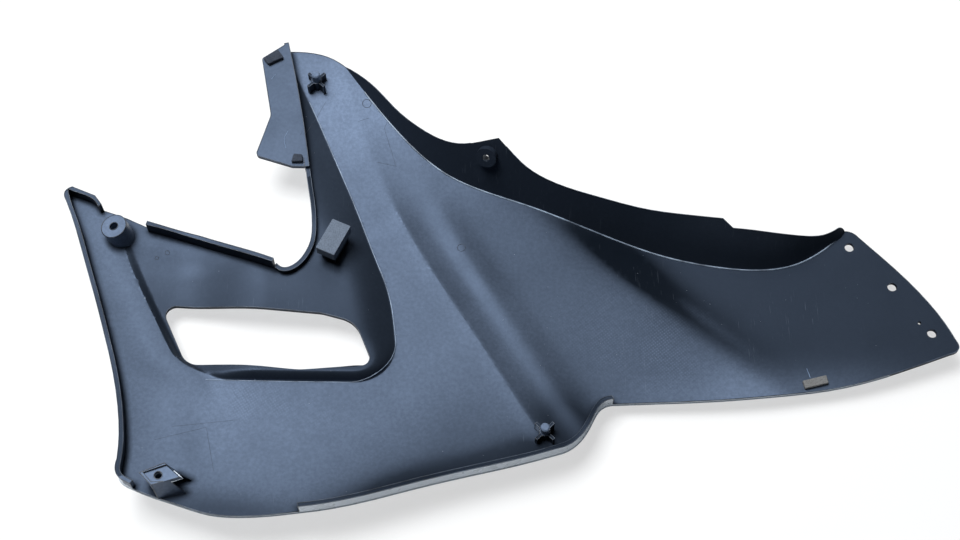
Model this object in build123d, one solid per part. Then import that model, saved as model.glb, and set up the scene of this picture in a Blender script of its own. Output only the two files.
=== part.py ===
from build123d import *
import math
import os

# Motorcycle side fairing panel: one moulding in black plastic, painted on its outer face.
# It lies inner side up, +X runs towards the tail, +Y towards the shoulder edge, +Z up.

WALL = 2.6                 # moulded wall thickness of the whole shell
TALL = 150.0               # how far the cutting bodies reach above and below the panel
EDGE = 3.0                 # how far a flange strip is drawn past the edge before it is trimmed
BED = 1.2                  # how deep flanges, bosses and pegs are let into the sheet of the shell
ABOVE = 50.0               # room above the inner face for what stands on it

FLOOR_LEVEL = 4.0          # height of the inner face at the lowest place of the bowl
BOWL_X = -20.0             # place of that lowest point
BOWL_Y = -20.0
BOWL_FRONT = 5200.0        # twice the bending radius of the bowl towards the front
BOWL_TAIL = 9000.0         # towards the tail
BOWL_ACROSS = 1500.0       # and across the panel

RIDGE_FALL = 5.0           # drop of the face behind the crisp character line
RIDGE_SPREAD = 18.0        # width over which that drop happens
RIDGE_TRACE = 0.12         # share of the drop that stays at the upper end of the line
RIDGE_FADE = (15.0, 75.0)  # the drop fades upwards between these places across the panel
RIDGE_LOW_TRACE = 0.45     # share of it that stays at the lower end
RIDGE_LOW_FADE = (-160.0, -90.0)
SWELL_RISE = 2.6           # soft swelling beside the character line
SWELL_AT = 33.0
SWELL_SPREAD = 12.0
TAIL_DROP = 9.5            # the tail lies lower than the middle of the panel
TAIL_DROP_LOSS = 0.03      # and the drop fades along its line
TAIL_SOFT = 14.0
TAIL_START = (20.0, 80.0)  # the drop sets in between these distances behind the character line
TAIL_LINE = (62.0, 42.6)   # a point on the soft line where the tail begins
TAIL_ANGLE = -41.8         # direction of that line in degrees

PITCH = 12.0               # spacing of the lines that the shell is drawn along
PITCH_FINE = 4.0           # their spacing at a crisp line
PITCH_GROWTH = 0.35        # and how fast it grows away from there
SOFTER = 6.0               # how far the outer face rounds the steps of the inner face
FRONT_SHIFT = 208.0        # the step of the front strip runs this far in front of the character line
SHIFT_FRONT = 22.0         # the lines keep their course so far in front of that step
SHIFT_TAIL = 262.0         # and so far behind the character line
PLAN_FRONT = -352.0        # where the first line lies
PLAN_TAIL = 365.0          # and the last one

SHOULDER_SLOPE = 63.0      # degrees of the shoulder wall above the face
SHOULDER_REACH = 36.0      # the wall is drawn this wide in plan before its edge is cut
SHOULDER_LAP = 2.3         # the sheet runs this far under the wall
PAN_RISE = 7.0             # the vent pan stands this much above the main face
PAN_SINK = 3.7             # and lies this much below the front strip
FRONT_STEP = 10.0          # width of the step down from the front strip to the pan
PAN_TRACE = 0.8            # what is left of that step beside the front boss
PAN_TRACE_FADE = (-5.0, 25.0)    # between these places across the panel
PAN_FRONT = (-210.0, -145.0)     # along these places the pan falls from its rise to its sink
PAN_CORNER = 30.0          # corner radius of the pan at its lower tail side
PAN_FLOOR_LINE = -83.5     # lower border of the pan
PAN_SOFT = 27.0            # width of the soft pan wall on the tail side
PAN_STEEP = 9.0            # width of the steep pan wall along the lower border
PAN_UPPER = 50.0           # width of the pan slope up beside the flap
PAN_SOFT_FROM = (-78.0, -38.0)   # across these places the wall turns from steep to soft
PAN_UPPER_FROM = (10.0, 100.0)   # and from there to its upper width

RETURN_RISE = 9.0          # return flange round the front and lower edges
VENT_FLANGE_RISE = 10.5    # flange on the upper edge of the vent pan
MOUTH_FLANGE_RISE = 4.0    # low flange round the mouth below the flap
FLAP_RISE = 11.0           # the flap stands this much above the plain bowl
FLAP_WALL = 2.4
FLAP_LAP = 0.5             # the wall under the flap reaches this far beneath it

BOSS_RADIUS = 8.8          # the two screw bosses
BOSS_HOLE_RADIUS = 3.0
BOSS_RISE = 14.0
BOSS_FLOOR = 2.0           # solid floor left under the hole of the front boss
PEG_RADIUS = 3.0           # the two locating pegs
PEG_RISE = 15.0
PEG_STEM_RADIUS = 3.5      # thicker stem of a peg, as tall as its ribs
PEG_RIB = 1.6              # thickness of the thin ribs round a peg
PEG_RIB_REACH = 8.0
PEG_RIB_RISE = 8.0
PEG_CHAMFER = 0.8
TAIL_HOLE_RADIUS = 3.2     # the three fixing holes in the tail
DOT_HOLE_RADIUS = 1.2
ROOT = 6.0                 # how deep bosses and pegs are drawn into the shell before trimming

FOAM_LONG = 25.0           # foam block beside the mouth
FOAM_WIDE = 14.0
FOAM_THICK = 8.0
PAD_THICK = 3.0            # thin foam pads


def smooth_step(value, start=0.0, end=1.0):
    """Goes softly from 0 to 1 while the value goes from the start to the end."""
    t = min(1.0, max(0.0, (value - start) / (end - start)))
    return t * t * (3.0 - 2.0 * t)


def course(stations):
    """Gives the smooth curve through a few stations, each one a place and a value."""
    last = len(stations) - 1
    spans = [stations[i + 1][0] - stations[i][0] for i in range(last)]
    grades = [(stations[i + 1][1] - stations[i][1]) / spans[i] for i in range(last)]
    lean = [0.0] * (last + 1)
    load = [0.0] * (last + 1)
    for i in range(1, last):
        middle = 2 * (spans[i - 1] + spans[i]) - spans[i - 1] * lean[i - 1]
        lean[i] = spans[i] / middle
        load[i] = (6 * (grades[i] - grades[i - 1]) - spans[i - 1] * load[i - 1]) / middle
    bend = [0.0] * (last + 1)
    for i in range(last - 1, 0, -1):
        bend[i] = load[i] - lean[i] * bend[i + 1]

    def at(place):
        if place < stations[0][0]:
            return stations[0][1] + (grades[0] - spans[0] * bend[1] / 6) * (place - stations[0][0])
        if place > stations[-1][0]:
            return stations[-1][1] + (grades[-1] + spans[-1] * bend[-2] / 6) * (place - stations[-1][0])
        i = 0
        while i < last - 1 and place > stations[i + 1][0]:
            i += 1
        t = place - stations[i][0]
        turn = grades[i] - spans[i] * (2 * bend[i] + bend[i + 1]) / 6
        change = (bend[i + 1] - bend[i]) / (6 * spans[i])
        return stations[i][1] + t * (turn + t * (bend[i] / 2 + t * change))

    return at


# plan of the main lines: each station is a place across the panel and the x of the line there
RIDGE_X = course([(-205, 76), (-160, 60), (-114, 35), (-52, 0), (11, -38), (60, -64), (130, -91),
                  (198, -112)])
PAN_X = course([(-110, -52), (-45, -59), (-5, -66.5), (57, -88.5), (84, -96.5), (118, -112),
                (137, -118), (162, -131), (190, -146)])
FRONT_X = course([(-200, -172), (-110, -180), (-78, -190), (-71, -200), (-56, -212), (-31.5, -225),
                  (-2, -240), (20, -249), (52, -257), (195, -290)])
# foot of the shoulder wall, from the flap end to the tail end
FOOT_Y = course([(-112, 178), (-84, 141), (-56, 107), (-28, 81), (0, 66.5), (42, 53), (84, 37.5),
                 (126, 20.5), (168, 9.5), (198, 6.5), (222, 10.5), (244, 23), (262, 38)])
FOOT = [(x, FOOT_Y(x)) for x in range(-108, 260, 14)]


def bowl(x, y):
    """Inner face of the plain bowl that the whole panel is bent to."""
    reach = BOWL_FRONT if x < BOWL_X else BOWL_TAIL
    return FLOOR_LEVEL + (x - BOWL_X) ** 2 / reach + (y - BOWL_Y) ** 2 / BOWL_ACROSS


def tail_face(x, y):
    """Inner face behind the character line, with its soft swelling and the lower tail."""
    d = x - RIDGE_X(y)
    fade = 1 - (1 - RIDGE_TRACE) * smooth_step(y, *RIDGE_FADE)
    fade = fade * (RIDGE_LOW_TRACE + (1 - RIDGE_LOW_TRACE) * smooth_step(y, *RIDGE_LOW_FADE))
    swell = SWELL_RISE * math.exp(-((d - SWELL_AT) / SWELL_SPREAD) ** 2)
    shape = swell - RIDGE_FALL * math.tanh(d / RIDGE_SPREAD)
    c = math.cos(math.radians(TAIL_ANGLE))
    s = math.sin(math.radians(TAIL_ANGLE))
    along = (x - TAIL_LINE[0]) * c + (y - TAIL_LINE[1]) * s
    beyond = (y - TAIL_LINE[1]) * c - (x - TAIL_LINE[0]) * s
    drop = (TAIL_DROP - TAIL_DROP_LOSS * along) * 0.5 * (1 + math.tanh(beyond / TAIL_SOFT))
    drop = drop * smooth_step(d, *TAIL_START)
    return bowl(x, y) + fade * shape - drop


def pan_rise(x, y):
    """Height of the vent pan over the plain bowl: above the main face, but below the front strip."""
    side = PAN_X(y) - x
    low = y - PAN_FLOOR_LINE
    inside = min(side, low)
    if side < PAN_CORNER and low < PAN_CORNER:
        inside = PAN_CORNER - math.hypot(PAN_CORNER - side, PAN_CORNER - low)
    width = PAN_STEEP + (PAN_SOFT - PAN_STEEP) * smooth_step(y, *PAN_SOFT_FROM)
    width = width + (PAN_UPPER - PAN_SOFT) * smooth_step(y, *PAN_UPPER_FROM)
    back = smooth_step(x, *PAN_FRONT)
    sink = PAN_TRACE + PAN_SINK * (1 - smooth_step(y, *PAN_TRACE_FADE))
    level = PAN_RISE * back - sink * (1 - back)
    return level * smooth_step(inside, 0, width) * smooth_step(x - FRONT_X(y), 0, FRONT_STEP)


def face(x, y):
    """Inner face of the whole panel, without the shoulder wall."""
    if x > RIDGE_X(y):
        return min(bowl(x, y), tail_face(x, y))
    return bowl(x, y) + pan_rise(x, y)


def face_under(x, y):
    """Outer face, one wall thickness behind the inner face and rounder at the steps."""
    step = SOFTER
    east = face(x + step, y)
    west = face(x - step, y)
    north = face(x, y + step)
    south = face(x, y - step)
    grade = math.hypot(east - west, north - south) / (2 * step)
    return (east + west + north + south) / 4 - WALL * math.sqrt(1 + grade * grade)


def outwards(reach):
    """Distances from a crisp line outwards: close together at first, then coarse, up to the reach."""
    places = [0.0]
    while places[-1] < reach:
        places.append(places[-1] + min(PITCH, PITCH_FINE + PITCH_GROWTH * places[-1]))
    return [place * reach / places[-1] for place in places]


def rails():
    """Lines along which the shell is drawn, parallel to the character line and closer at crisp places."""
    half = FRONT_SHIFT / 2
    shifts = [-FRONT_SHIFT - d for d in outwards(SHIFT_FRONT)[:0:-1]]
    shifts += [-FRONT_SHIFT + d for d in outwards(half)]
    shifts += [-d for d in outwards(half)[-2:0:-1]]
    shifts += outwards(SHIFT_TAIL)
    lines = []
    for t in (0, 0.25, 0.5, 0.75):
        lines.append(lambda y, t=t: (RIDGE_X(y) + shifts[0]) * t + PLAN_FRONT * (1 - t))
    for d in shifts:
        lines.append(lambda y, d=d: RIDGE_X(y) + d)
    for t in (0.2, 0.4, 0.6, 0.8, 1.0):
        lines.append(lambda y, t=t: (RIDGE_X(y) + shifts[-1]) * (1 - t) + PLAN_TAIL * t)
    return lines


# stations across the panel, close together where the lower wall of the pan stands
CROSS = [-205, -185, -165, -145, -127, -112, -101, -93, -88, -84.5, -82, -79.5, -77, -73.5, -68, -60,
         -51, -42, -32, -22, -11, 0, 11, 22, 33, 45, 58, 72, 87, 103, 120, 138, 156, 176, 198]


def sheet(upper, lower):
    """Solid between two faces, drawn along the rails."""
    sections = []
    pace = [(y - CROSS[0]) / (CROSS[-1] - CROSS[0]) for y in CROSS]
    back_pace = [1 - p for p in pace[::-1]]
    for rail in rails():
        line = [(rail(y), y) for y in CROSS]
        top = [Vector(x, y, upper(x, y)) for x, y in line]
        bottom = [Vector(x, y, lower(x, y)) for x, y in line]
        sections.append(Wire([
            Edge.make_spline(top, parameters=pace), Edge.make_line(top[-1], bottom[-1]),
            Edge.make_spline(bottom[::-1], parameters=back_pace), Edge.make_line(bottom[0], top[0])]))
    return Solid.make_loft(sections)


def rounded(corners):
    """Flat face with straight sides, each corner given as x, y and its radius."""
    face = make_face(Polyline(*[(c[0], c[1]) for c in corners], close=True))
    for x, y, radius in corners:
        if radius > 0:
            vertex = face.vertices().sort_by_distance((x, y, 0))[0]
            face = fillet(vertex, radius)
    return face


def column(face):
    """Upright solid over a flat face, through the whole height."""
    return extrude(Pos(0, 0, -TALL) * face, amount=2 * TALL)


# edge of the panel, each stretch runs clockwise seen from above
TOP_EDGE = [(-141, 169.5), (-125, 169.5), (-109.5, 166), (-91, 153.5), (-75.5, 138.5), (-60.5, 121.5),
            (-42.5, 104.5), (-24.5, 92), (-12, 87), (0, 85), (13, 84)]
SHOULDER_EDGE = [(13, 84), (21, 78), (31.5, 71), (45.5, 64.5), (59.5, 59.5), (84, 51.5), (117.5, 40),
                 (151, 31.5), (166.5, 28.5)]
STEP_EDGE = [(174, 24), (192, 21.5), (213.5, 20.5), (233, 24), (248.5, 31)]
TAIL_EDGE = [(265, 29), (278.5, 14), (293.5, -4.5), (304.5, -20.5), (315, -40), (320, -53)]
TIP_EDGE = [(320, -53), (321, -60), (315, -63.5)]
LOW_EDGE = [(315, -63.5), (305, -67), (284.5, -74), (247, -84.5), (213, -90), (186, -93), (146, -95.5),
            (106.5, -96.5), (88, -97)]
CURL_EDGE = [(88, -97), (79.5, -101), (74, -110.5), (68.5, -121), (62, -128.5), (50.5, -135)]
RETURN_EDGE = [(50.5, -135), (26, -142.5), (0, -149), (-38.5, -159), (-76, -170), (-113.5, -177.5)]
CHIN_EDGE = [(-113.5, -177.5), (-135, -180.5), (-153.5, -181.5), (-168, -180.5), (-188.5, -174.5),
             (-208, -168), (-221, -162.5)]
CORNER_EDGE = [(-221, -162.5), (-227.5, -158), (-229.5, -146)]
FRONT_EDGE = [(-229.5, -146), (-231, -126), (-235, -104.5), (-241.5, -80), (-250.5, -52.5), (-259, -28),
              (-269, -0.5), (-278.5, 26), (-286.5, 45)]
NOSE_EDGE = [(-286.5, 45), (-288, 51.5), (-283.5, 55.5)]
NOSE_TOP = [(-283.5, 55.5), (-267.5, 49.5), (-262.5, 43), (-246, 38), (-232, 32), (-193.5, 21),
            (-157.5, 8), (-139.5, 1.5)]
MOUTH_EDGE = [(-139.5, 1.5), (-133.5, -1.5), (-127, 1.5), (-120.5, 10), (-117, 20), (-116.5, 31),
              (-118, 47), (-120, 58.5), (-123, 76.5)]
FOLD_EDGE = [(-123, 76.5), (-128.5, 111), (-141, 169.5)]


def panel_outline():
    """Plan of the whole panel without the flap."""
    return make_face([
        Spline(*TOP_EDGE), Spline(*SHOULDER_EDGE), Line(SHOULDER_EDGE[-1], STEP_EDGE[0]), Spline(*STEP_EDGE),
        ThreePointArc(STEP_EDGE[-1], (257.5, 33.5), TAIL_EDGE[0]), Spline(*TAIL_EDGE), Spline(*TIP_EDGE),
        Spline(*LOW_EDGE), Spline(*CURL_EDGE), Spline(*RETURN_EDGE), Spline(*CHIN_EDGE),
        Spline(*CORNER_EDGE), Spline(*FRONT_EDGE), Spline(*NOSE_EDGE), Polyline(*NOSE_TOP),
        Spline(*MOUTH_EDGE), Spline(*FOLD_EDGE)])


def strip_along(points, inside, outside):
    """Plan of a strip that follows an edge, so far inside and outside it."""
    inner = []
    outer = []
    for i in range(len(points)):
        a = points[max(0, i - 1)]
        b = points[min(len(points) - 1, i + 1)]
        size = math.hypot(b[0] - a[0], b[1] - a[1])
        nx = -(b[1] - a[1]) / size
        ny = (b[0] - a[0]) / size
        inner.append((points[i][0] - inside * nx, points[i][1] - inside * ny))
        outer.append((points[i][0] + outside * nx, points[i][1] + outside * ny))
    return make_face([Spline(*inner), Line(inner[-1], outer[-1]), Spline(*outer), Line(outer[0], inner[0])])


# corners of the vent window, each with its radius
WINDOW = [(-219, -24.5, 7), (-107, -33.5, 25), (-84, -40, 20), (-71, -72.5, 6), (-120, -76.8, 40),
          (-197, -70.5, 14)]


def offset_line(points, shift):
    """The same line moved sideways, outwards when the shift is positive."""
    moved = []
    for i in range(len(points)):
        a = points[max(0, i - 1)]
        b = points[min(len(points) - 1, i + 1)]
        size = math.hypot(b[0] - a[0], b[1] - a[1])
        moved.append((points[i][0] - shift * (b[1] - a[1]) / size, points[i][1] + shift * (b[0] - a[0]) / size))
    return moved


def shoulder_wall():
    """Sloping wall that rises from its foot line on the face to the upper edge."""
    slope = math.tan(math.radians(SHOULDER_SLOPE))
    skin = WALL / math.sin(math.radians(SHOULDER_SLOPE))
    sections = []
    for i in range(len(FOOT)):
        foot = face(*FOOT[i])
        corners = []
        top = SHOULDER_REACH * slope
        for shift, rise in ((0, -BED), (0, top), (skin, top), (skin, -1.5 * BED)):
            x, y = offset_line(FOOT, shift + rise / slope)[i]
            corners.append(Vector(x, y, foot + rise))
        sections.append(Wire.make_polygon(corners, close=True))
    return Solid.make_loft(sections)


def floor_plan():
    """Plan of the panel up to the foot of the shoulder wall."""
    near = offset_line(FOOT, SHOULDER_LAP)
    beyond = offset_line(FOOT, 2 * SHOULDER_REACH)
    wall_zone = make_face([Spline(*near), Line(near[-1], beyond[-1]), Polyline(*beyond[::-1]),
                           Line(beyond[0], near[0])])
    return panel_outline() - wall_zone


FLAP_EDGE = [(-124, 76.5, 0), (-132.5, 76.5, 2), (-158.5, 84, 3), (-149, 115, 8), (-157, 157.5, 2),
             (-141, 168.5, 0), (-139, 160, 0), (-127, 111, 0)]
FRONT_RUN = [(-219, -163.5), (-221, -162.5), (-227.5, -158),
             (-229.5, -146)] + FRONT_EDGE[1:] + [(-289, 53)]
TIP_RUN = [(-287.5, 57.5), (-283.5, 55.5), (-267.5, 49.5), (-262.5, 43.5)]
VENT_RUN = [(-230, 31.5), NOSE_TOP[-3], NOSE_TOP[-2], (-141, 2.2)]
RETURN_RUN = CURL_EDGE + RETURN_EDGE[1:]

FRONT_BOSS = (-249, 24.5)
FRONT_BOSS_LEAN = -10.0        # degrees that the boss leans towards the front
WALL_BOSS = (5.6, 79.3, 34.0)
WALL_BOSS_AXIS = (-0.31, -0.84, 0.45)
WALL_BOSS_RADIUS = 7.4
WALL_BOSS_HOLE_RADIUS = 2.6
WALL_BOSS_RISE = 5.0
PEGS = [(-118, 144.5), (42, -122)]
TAIL_HOLES = [(258.5, 21.5), (284, -10.5), (305.5, -47.5)]
DOT_HOLE = (298.5, -39)
TOWER_TOP = [(-212, -159), (-197, -152.6), (-187, -161.5), (-204, -167)]
TOWER_FOOT = [(-207, -160), (-190, -152), (-170, -163), (-201, -172)]
# plan of the hollow in the clip tower, at its foot and under its top, and of the shallow tray on top
TOWER_HOLLOW_FOOT = [(-203.5, -160.5), (-188, -154.5), (-150, -164), (-199, -169.5)]
TOWER_HOLLOW_TOP = [(-208.5, -159.2), (-196.5, -155.2), (-170, -163), (-203, -164.3)]
TOWER_TRAY = [(-210, -158.8), (-196, -153.6), (-180, -164), (-204.2, -165)]
TOWER_RISE = 17.0
TOWER_RIM = 1.2                # the rim round the tray
TOWER_WALL = 2.2
TOWER_HOLE = (-200.5, -160.3)
TOWER_HOLE_RADIUS = 2.6
SEAT = (-100.2, 15.8)          # foam block seat beside the mouth
SEAT_ANGLE = 65.0
SEAT_TOP = 22.0
SEAT_MARGIN = 3.0              # the foam block stands out this far past its seat at the ends
SEAT_SIDE = 2.0                # and this far at the sides
TOP_PAD = [(-152, 152), (-141.5, 157.5), (-145.5, 163), (-156, 156.5)]
LOWER_PAD = [(-133, 78.5), (-131.5, 84.5), (-125.5, 84), (-125, 79)]
EDGE_PAD = [(215, -81.5), (231, -77.5), (232, -83.5), (216, -87.5)]


def flap_face(x, y):
    """Upper face of the flap beside the pan."""
    return bowl(x, y) + FLAP_RISE


def lifted(height, rise):
    """The same face moved straight up."""
    return lambda x, y: height(x, y) + rise


def flat_plan(corners):
    """Flat face with sharp corners."""
    return make_face(Polyline(*corners, close=True))


def flange(points, rise):
    """Thin flange that stands along one stretch of the edge."""
    return column(strip_along(points, WALL, EDGE)) & sheet(lifted(face, rise), lifted(face, -BED))


def flap():
    """Raised flap with the short wall that carries it."""
    plate = column(rounded(FLAP_EDGE)) & sheet(flap_face, lifted(flap_face, -FLAP_WALL))
    post = column(strip_along(FOLD_EDGE, FLAP_WALL, FLAP_LAP)) & sheet(flap_face, lifted(face, -BED))
    return plate + post


def in_front_boss(radius, low, high):
    """Round body on the leaning axis of the front screw boss."""
    x, y = FRONT_BOSS
    at = Pos(x, y, face(x, y)) * Rot(0, FRONT_BOSS_LEAN, 0)
    return at * Pos(0, 0, (low + high) / 2) * Cylinder(radius, high - low)


def peg(x, y):
    """Locating peg with four thin ribs."""
    foot = face(x, y)
    pin = Pos(x, y, foot + PEG_RISE / 2 - ROOT / 2) * Cylinder(PEG_RADIUS, PEG_RISE + ROOT)
    pin = chamfer(pin.edges().sort_by(Axis.Z)[-1], PEG_CHAMFER)
    low = Pos(x, y, foot + PEG_RIB_RISE / 2 - ROOT / 2)
    pin = pin + low * Cylinder(PEG_STEM_RADIUS, PEG_RIB_RISE + ROOT)
    for turn in (45, 135):
        pin = pin + low * Rot(0, 0, turn) * Box(2 * PEG_RIB_REACH, PEG_RIB, PEG_RIB_RISE + ROOT)
    return pin


def wire_at(corners, z):
    """Closed outline at one height."""
    return Wire.make_polygon([Vector(x, y, z) for x, y in corners], close=True)


def tower():
    """Slanted hollow clip tower, open towards the tail."""
    foot = face(*TOWER_HOLE)
    top = foot + TOWER_RISE
    body = Solid.make_loft([wire_at(TOWER_FOOT, foot - ROOT), wire_at(TOWER_TOP, top)], True)
    hollow_foot = wire_at(TOWER_HOLLOW_FOOT, foot - 2 * ROOT)
    hollow = Solid.make_loft([hollow_foot, wire_at(TOWER_HOLLOW_TOP, top - TOWER_WALL)], True)
    rim = Solid.make_loft([wire_at(TOWER_TOP, top - TOWER_RIM), wire_at(TOWER_TOP, top + TOWER_RIM)], True)
    tray = Solid.make_loft([wire_at(TOWER_TRAY, top), wire_at(TOWER_TRAY, top + 3 * TOWER_RIM)], True)
    return (body - hollow) + (rim - tray)


def seat():
    """Raised seat that carries the foam block."""
    block = Box(FOAM_LONG - 2 * SEAT_MARGIN, FOAM_WIDE - 2 * SEAT_SIDE, SEAT_TOP)
    return Pos(SEAT[0], SEAT[1], SEAT_TOP / 2) * Rot(0, 0, SEAT_ANGLE) * block


def wall_boss(radius, low, high):
    """Round body square to the shoulder wall."""
    place = Plane(origin=WALL_BOSS, z_dir=WALL_BOSS_AXIS)
    return place * Pos(0, 0, (low + high) / 2) * Cylinder(radius, high - low)


def fairing_panel():
    """The whole moulding."""
    outline = column(panel_outline())
    body = (sheet(face, face_under) & column(floor_plan())) - column(rounded(WINDOW))
    upper = (shoulder_wall() + wall_boss(WALL_BOSS_RADIUS, -BED, WALL_BOSS_RISE)) & outline
    body = body + upper
    for points, rise in ((FRONT_RUN, RETURN_RISE), (TIP_RUN, RETURN_RISE), (VENT_RUN, VENT_FLANGE_RISE),
                         (MOUTH_EDGE, MOUTH_FLANGE_RISE), (RETURN_RUN, RETURN_RISE)):
        body = body + (flange(points, rise) & outline)
    body = body + flap()
    extras = in_front_boss(BOSS_RADIUS, -ROOT, BOSS_RISE) + tower() + seat()
    for x, y in PEGS:
        extras = extras + peg(x, y)
    body = body + (extras & sheet(lifted(face, ABOVE), lifted(face, -BED)))
    body = body - in_front_boss(BOSS_HOLE_RADIUS, BOSS_FLOOR, BOSS_RISE + ROOT)
    body = body - wall_boss(WALL_BOSS_HOLE_RADIUS, -2 * WALL_BOSS_RISE, 2 * WALL_BOSS_RISE)
    x, y = TOWER_HOLE
    body = body - Pos(x, y, face(x, y) + TOWER_RISE) * Cylinder(TOWER_HOLE_RADIUS, 4 * TOWER_WALL)
    for x, y in TAIL_HOLES:
        body = body - Pos(x, y, 0) * Cylinder(TAIL_HOLE_RADIUS, TALL)
    return body - Pos(*DOT_HOLE, 0) * Cylinder(DOT_HOLE_RADIUS, TALL)


def pad(corners, carrier):
    """Thin foam pad glued on a face."""
    return column(flat_plan(corners)) & sheet(lifted(carrier, PAD_THICK), carrier)


def foam_block():
    """Foam block on its seat."""
    block = Box(FOAM_LONG, FOAM_WIDE, FOAM_THICK)
    return Pos(SEAT[0], SEAT[1], SEAT_TOP + FOAM_THICK / 2) * Rot(0, 0, SEAT_ANGLE) * block


if __name__ == "__main__":
    os.makedirs("parts", exist_ok=True)
    nodes = {
        "fairing_panel": fairing_panel(),
        "foam_block": foam_block(),
        "flap_top_pad": pad(TOP_PAD, flap_face),
        "flap_lower_pad": pad(LOWER_PAD, flap_face),
        "edge_pad": pad(EDGE_PAD, face),
    }
    box = nodes["fairing_panel"].bounding_box()
    lay = Pos(-(box.min.X + box.max.X) / 2, -(box.min.Y + box.max.Y) / 2, -box.min.Z)
    for name, shape in nodes.items():
        shape = lay * shape
        print(name, shape.is_valid, round(shape.volume), len(shape.solids()), shape.bounding_box())
        export_step(shape, "parts/" + name + ".step")
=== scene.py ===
import logging
import math
from collections.abc import Iterable
from dataclasses import dataclass, field, replace
from enum import Enum

import bmesh
import bpy
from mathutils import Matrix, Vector
from mathutils.bvhtree import BVHTree
from mathutils.kdtree import KDTree


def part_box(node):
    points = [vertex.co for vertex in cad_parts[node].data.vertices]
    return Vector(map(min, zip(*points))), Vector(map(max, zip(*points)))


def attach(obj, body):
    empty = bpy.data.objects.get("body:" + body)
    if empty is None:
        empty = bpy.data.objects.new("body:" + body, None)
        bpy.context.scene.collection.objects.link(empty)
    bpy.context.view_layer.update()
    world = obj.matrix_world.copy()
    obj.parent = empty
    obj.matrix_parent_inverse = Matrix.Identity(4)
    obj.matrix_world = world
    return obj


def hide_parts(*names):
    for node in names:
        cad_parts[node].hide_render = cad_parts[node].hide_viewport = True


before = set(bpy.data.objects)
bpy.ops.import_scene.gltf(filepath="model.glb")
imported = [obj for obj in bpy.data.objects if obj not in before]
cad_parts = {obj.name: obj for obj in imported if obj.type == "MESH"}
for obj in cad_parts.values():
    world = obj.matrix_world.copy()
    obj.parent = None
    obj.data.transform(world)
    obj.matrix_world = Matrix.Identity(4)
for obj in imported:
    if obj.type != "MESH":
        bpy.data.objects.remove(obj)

LOG = logging.getLogger("fairing")
MM = 0.001
WELD = 0.02 * MM
Place = tuple[float, float]
Point = tuple[float, float, float]
Colour = tuple[float, float, float]
Socket = bpy.types.NodeSocket


class Side(Enum):
    """The two finishes of the moulding, as material slots of its mesh."""

    INNER = 0
    PAINTED = 1


# small helpers

def clamp(value: float, low: float = 0.0, high: float = 1.0) -> float:
    """Keeps a value between two limits."""
    return min(high, max(low, value))


def smooth_step(value: float, start: float = 0.0, end: float = 1.0) -> float:
    """Goes softly from 0 to 1 while the value goes from the start to the end."""
    t = clamp((value - start) / (end - start))
    return t * t * (3.0 - 2.0 * t)


def bell(value: float, middle: float, spread: float) -> float:
    """Soft bump, 1 where the value is at the middle and 0 far from it."""
    return math.exp(-((value - middle) / spread) ** 2)


def turned(dx: float, dy: float, angle: float) -> Place:
    """Gives a step's length along a line at an angle in degrees, and across it."""
    c, s = math.cos(math.radians(angle)), math.sin(math.radians(angle))
    return dx * c + dy * s, dy * c - dx * s


def mound(x: float, y: float, middle: Place, reach: Place) -> float:
    """Soft round patch, 1 in its middle and 0 far outside its reach."""
    return math.exp(-(((x - middle[0]) / reach[0]) ** 2 + ((y - middle[1]) / reach[1]) ** 2))


class Course:
    """Smooth curve through a few stations, each one a place and a value."""

    def __init__(self, *stations: Place) -> None:
        """Works out how the curve bends at each station.

        Args:
            stations: places along the curve, in rising order, each with its value.
        """
        self.stations = stations
        last = len(stations) - 1
        self.spans = [stations[i + 1][0] - stations[i][0] for i in range(last)]
        self.grades = [(stations[i + 1][1] - stations[i][1]) / self.spans[i] for i in range(last)]
        lean = [0.0] * (last + 1)
        load = [0.0] * (last + 1)
        for i in range(1, last):
            middle = 2 * (self.spans[i - 1] + self.spans[i]) - self.spans[i - 1] * lean[i - 1]
            lean[i] = self.spans[i] / middle
            load[i] = (6 * (self.grades[i] - self.grades[i - 1]) - self.spans[i - 1] * load[i - 1]) / middle
        self.bend = [0.0] * (last + 1)
        for i in range(last - 1, 0, -1):
            self.bend[i] = load[i] - lean[i] * self.bend[i + 1]

    def __call__(self, place: float) -> float:
        """Gives the value at a place, straight on past the ends.

        Args:
            place: where along the curve.

        Returns:
            The value there.
        """
        first, last = self.stations[0], self.stations[-1]
        if place < first[0]:
            return first[1] + (self.grades[0] - self.spans[0] * self.bend[1] / 6) * (place - first[0])
        if place > last[0]:
            return last[1] + (self.grades[-1] + self.spans[-1] * self.bend[-2] / 6) * (place - last[0])
        i = 0
        while i < len(self.spans) - 1 and place > self.stations[i + 1][0]:
            i += 1
        t = place - self.stations[i][0]
        turn = self.grades[i] - self.spans[i] * (2 * self.bend[i] + self.bend[i + 1]) / 6
        change = (self.bend[i + 1] - self.bend[i]) / (6 * self.spans[i])
        return self.stations[i][1] + t * (turn + t * (self.bend[i] / 2 + t * change))


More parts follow.
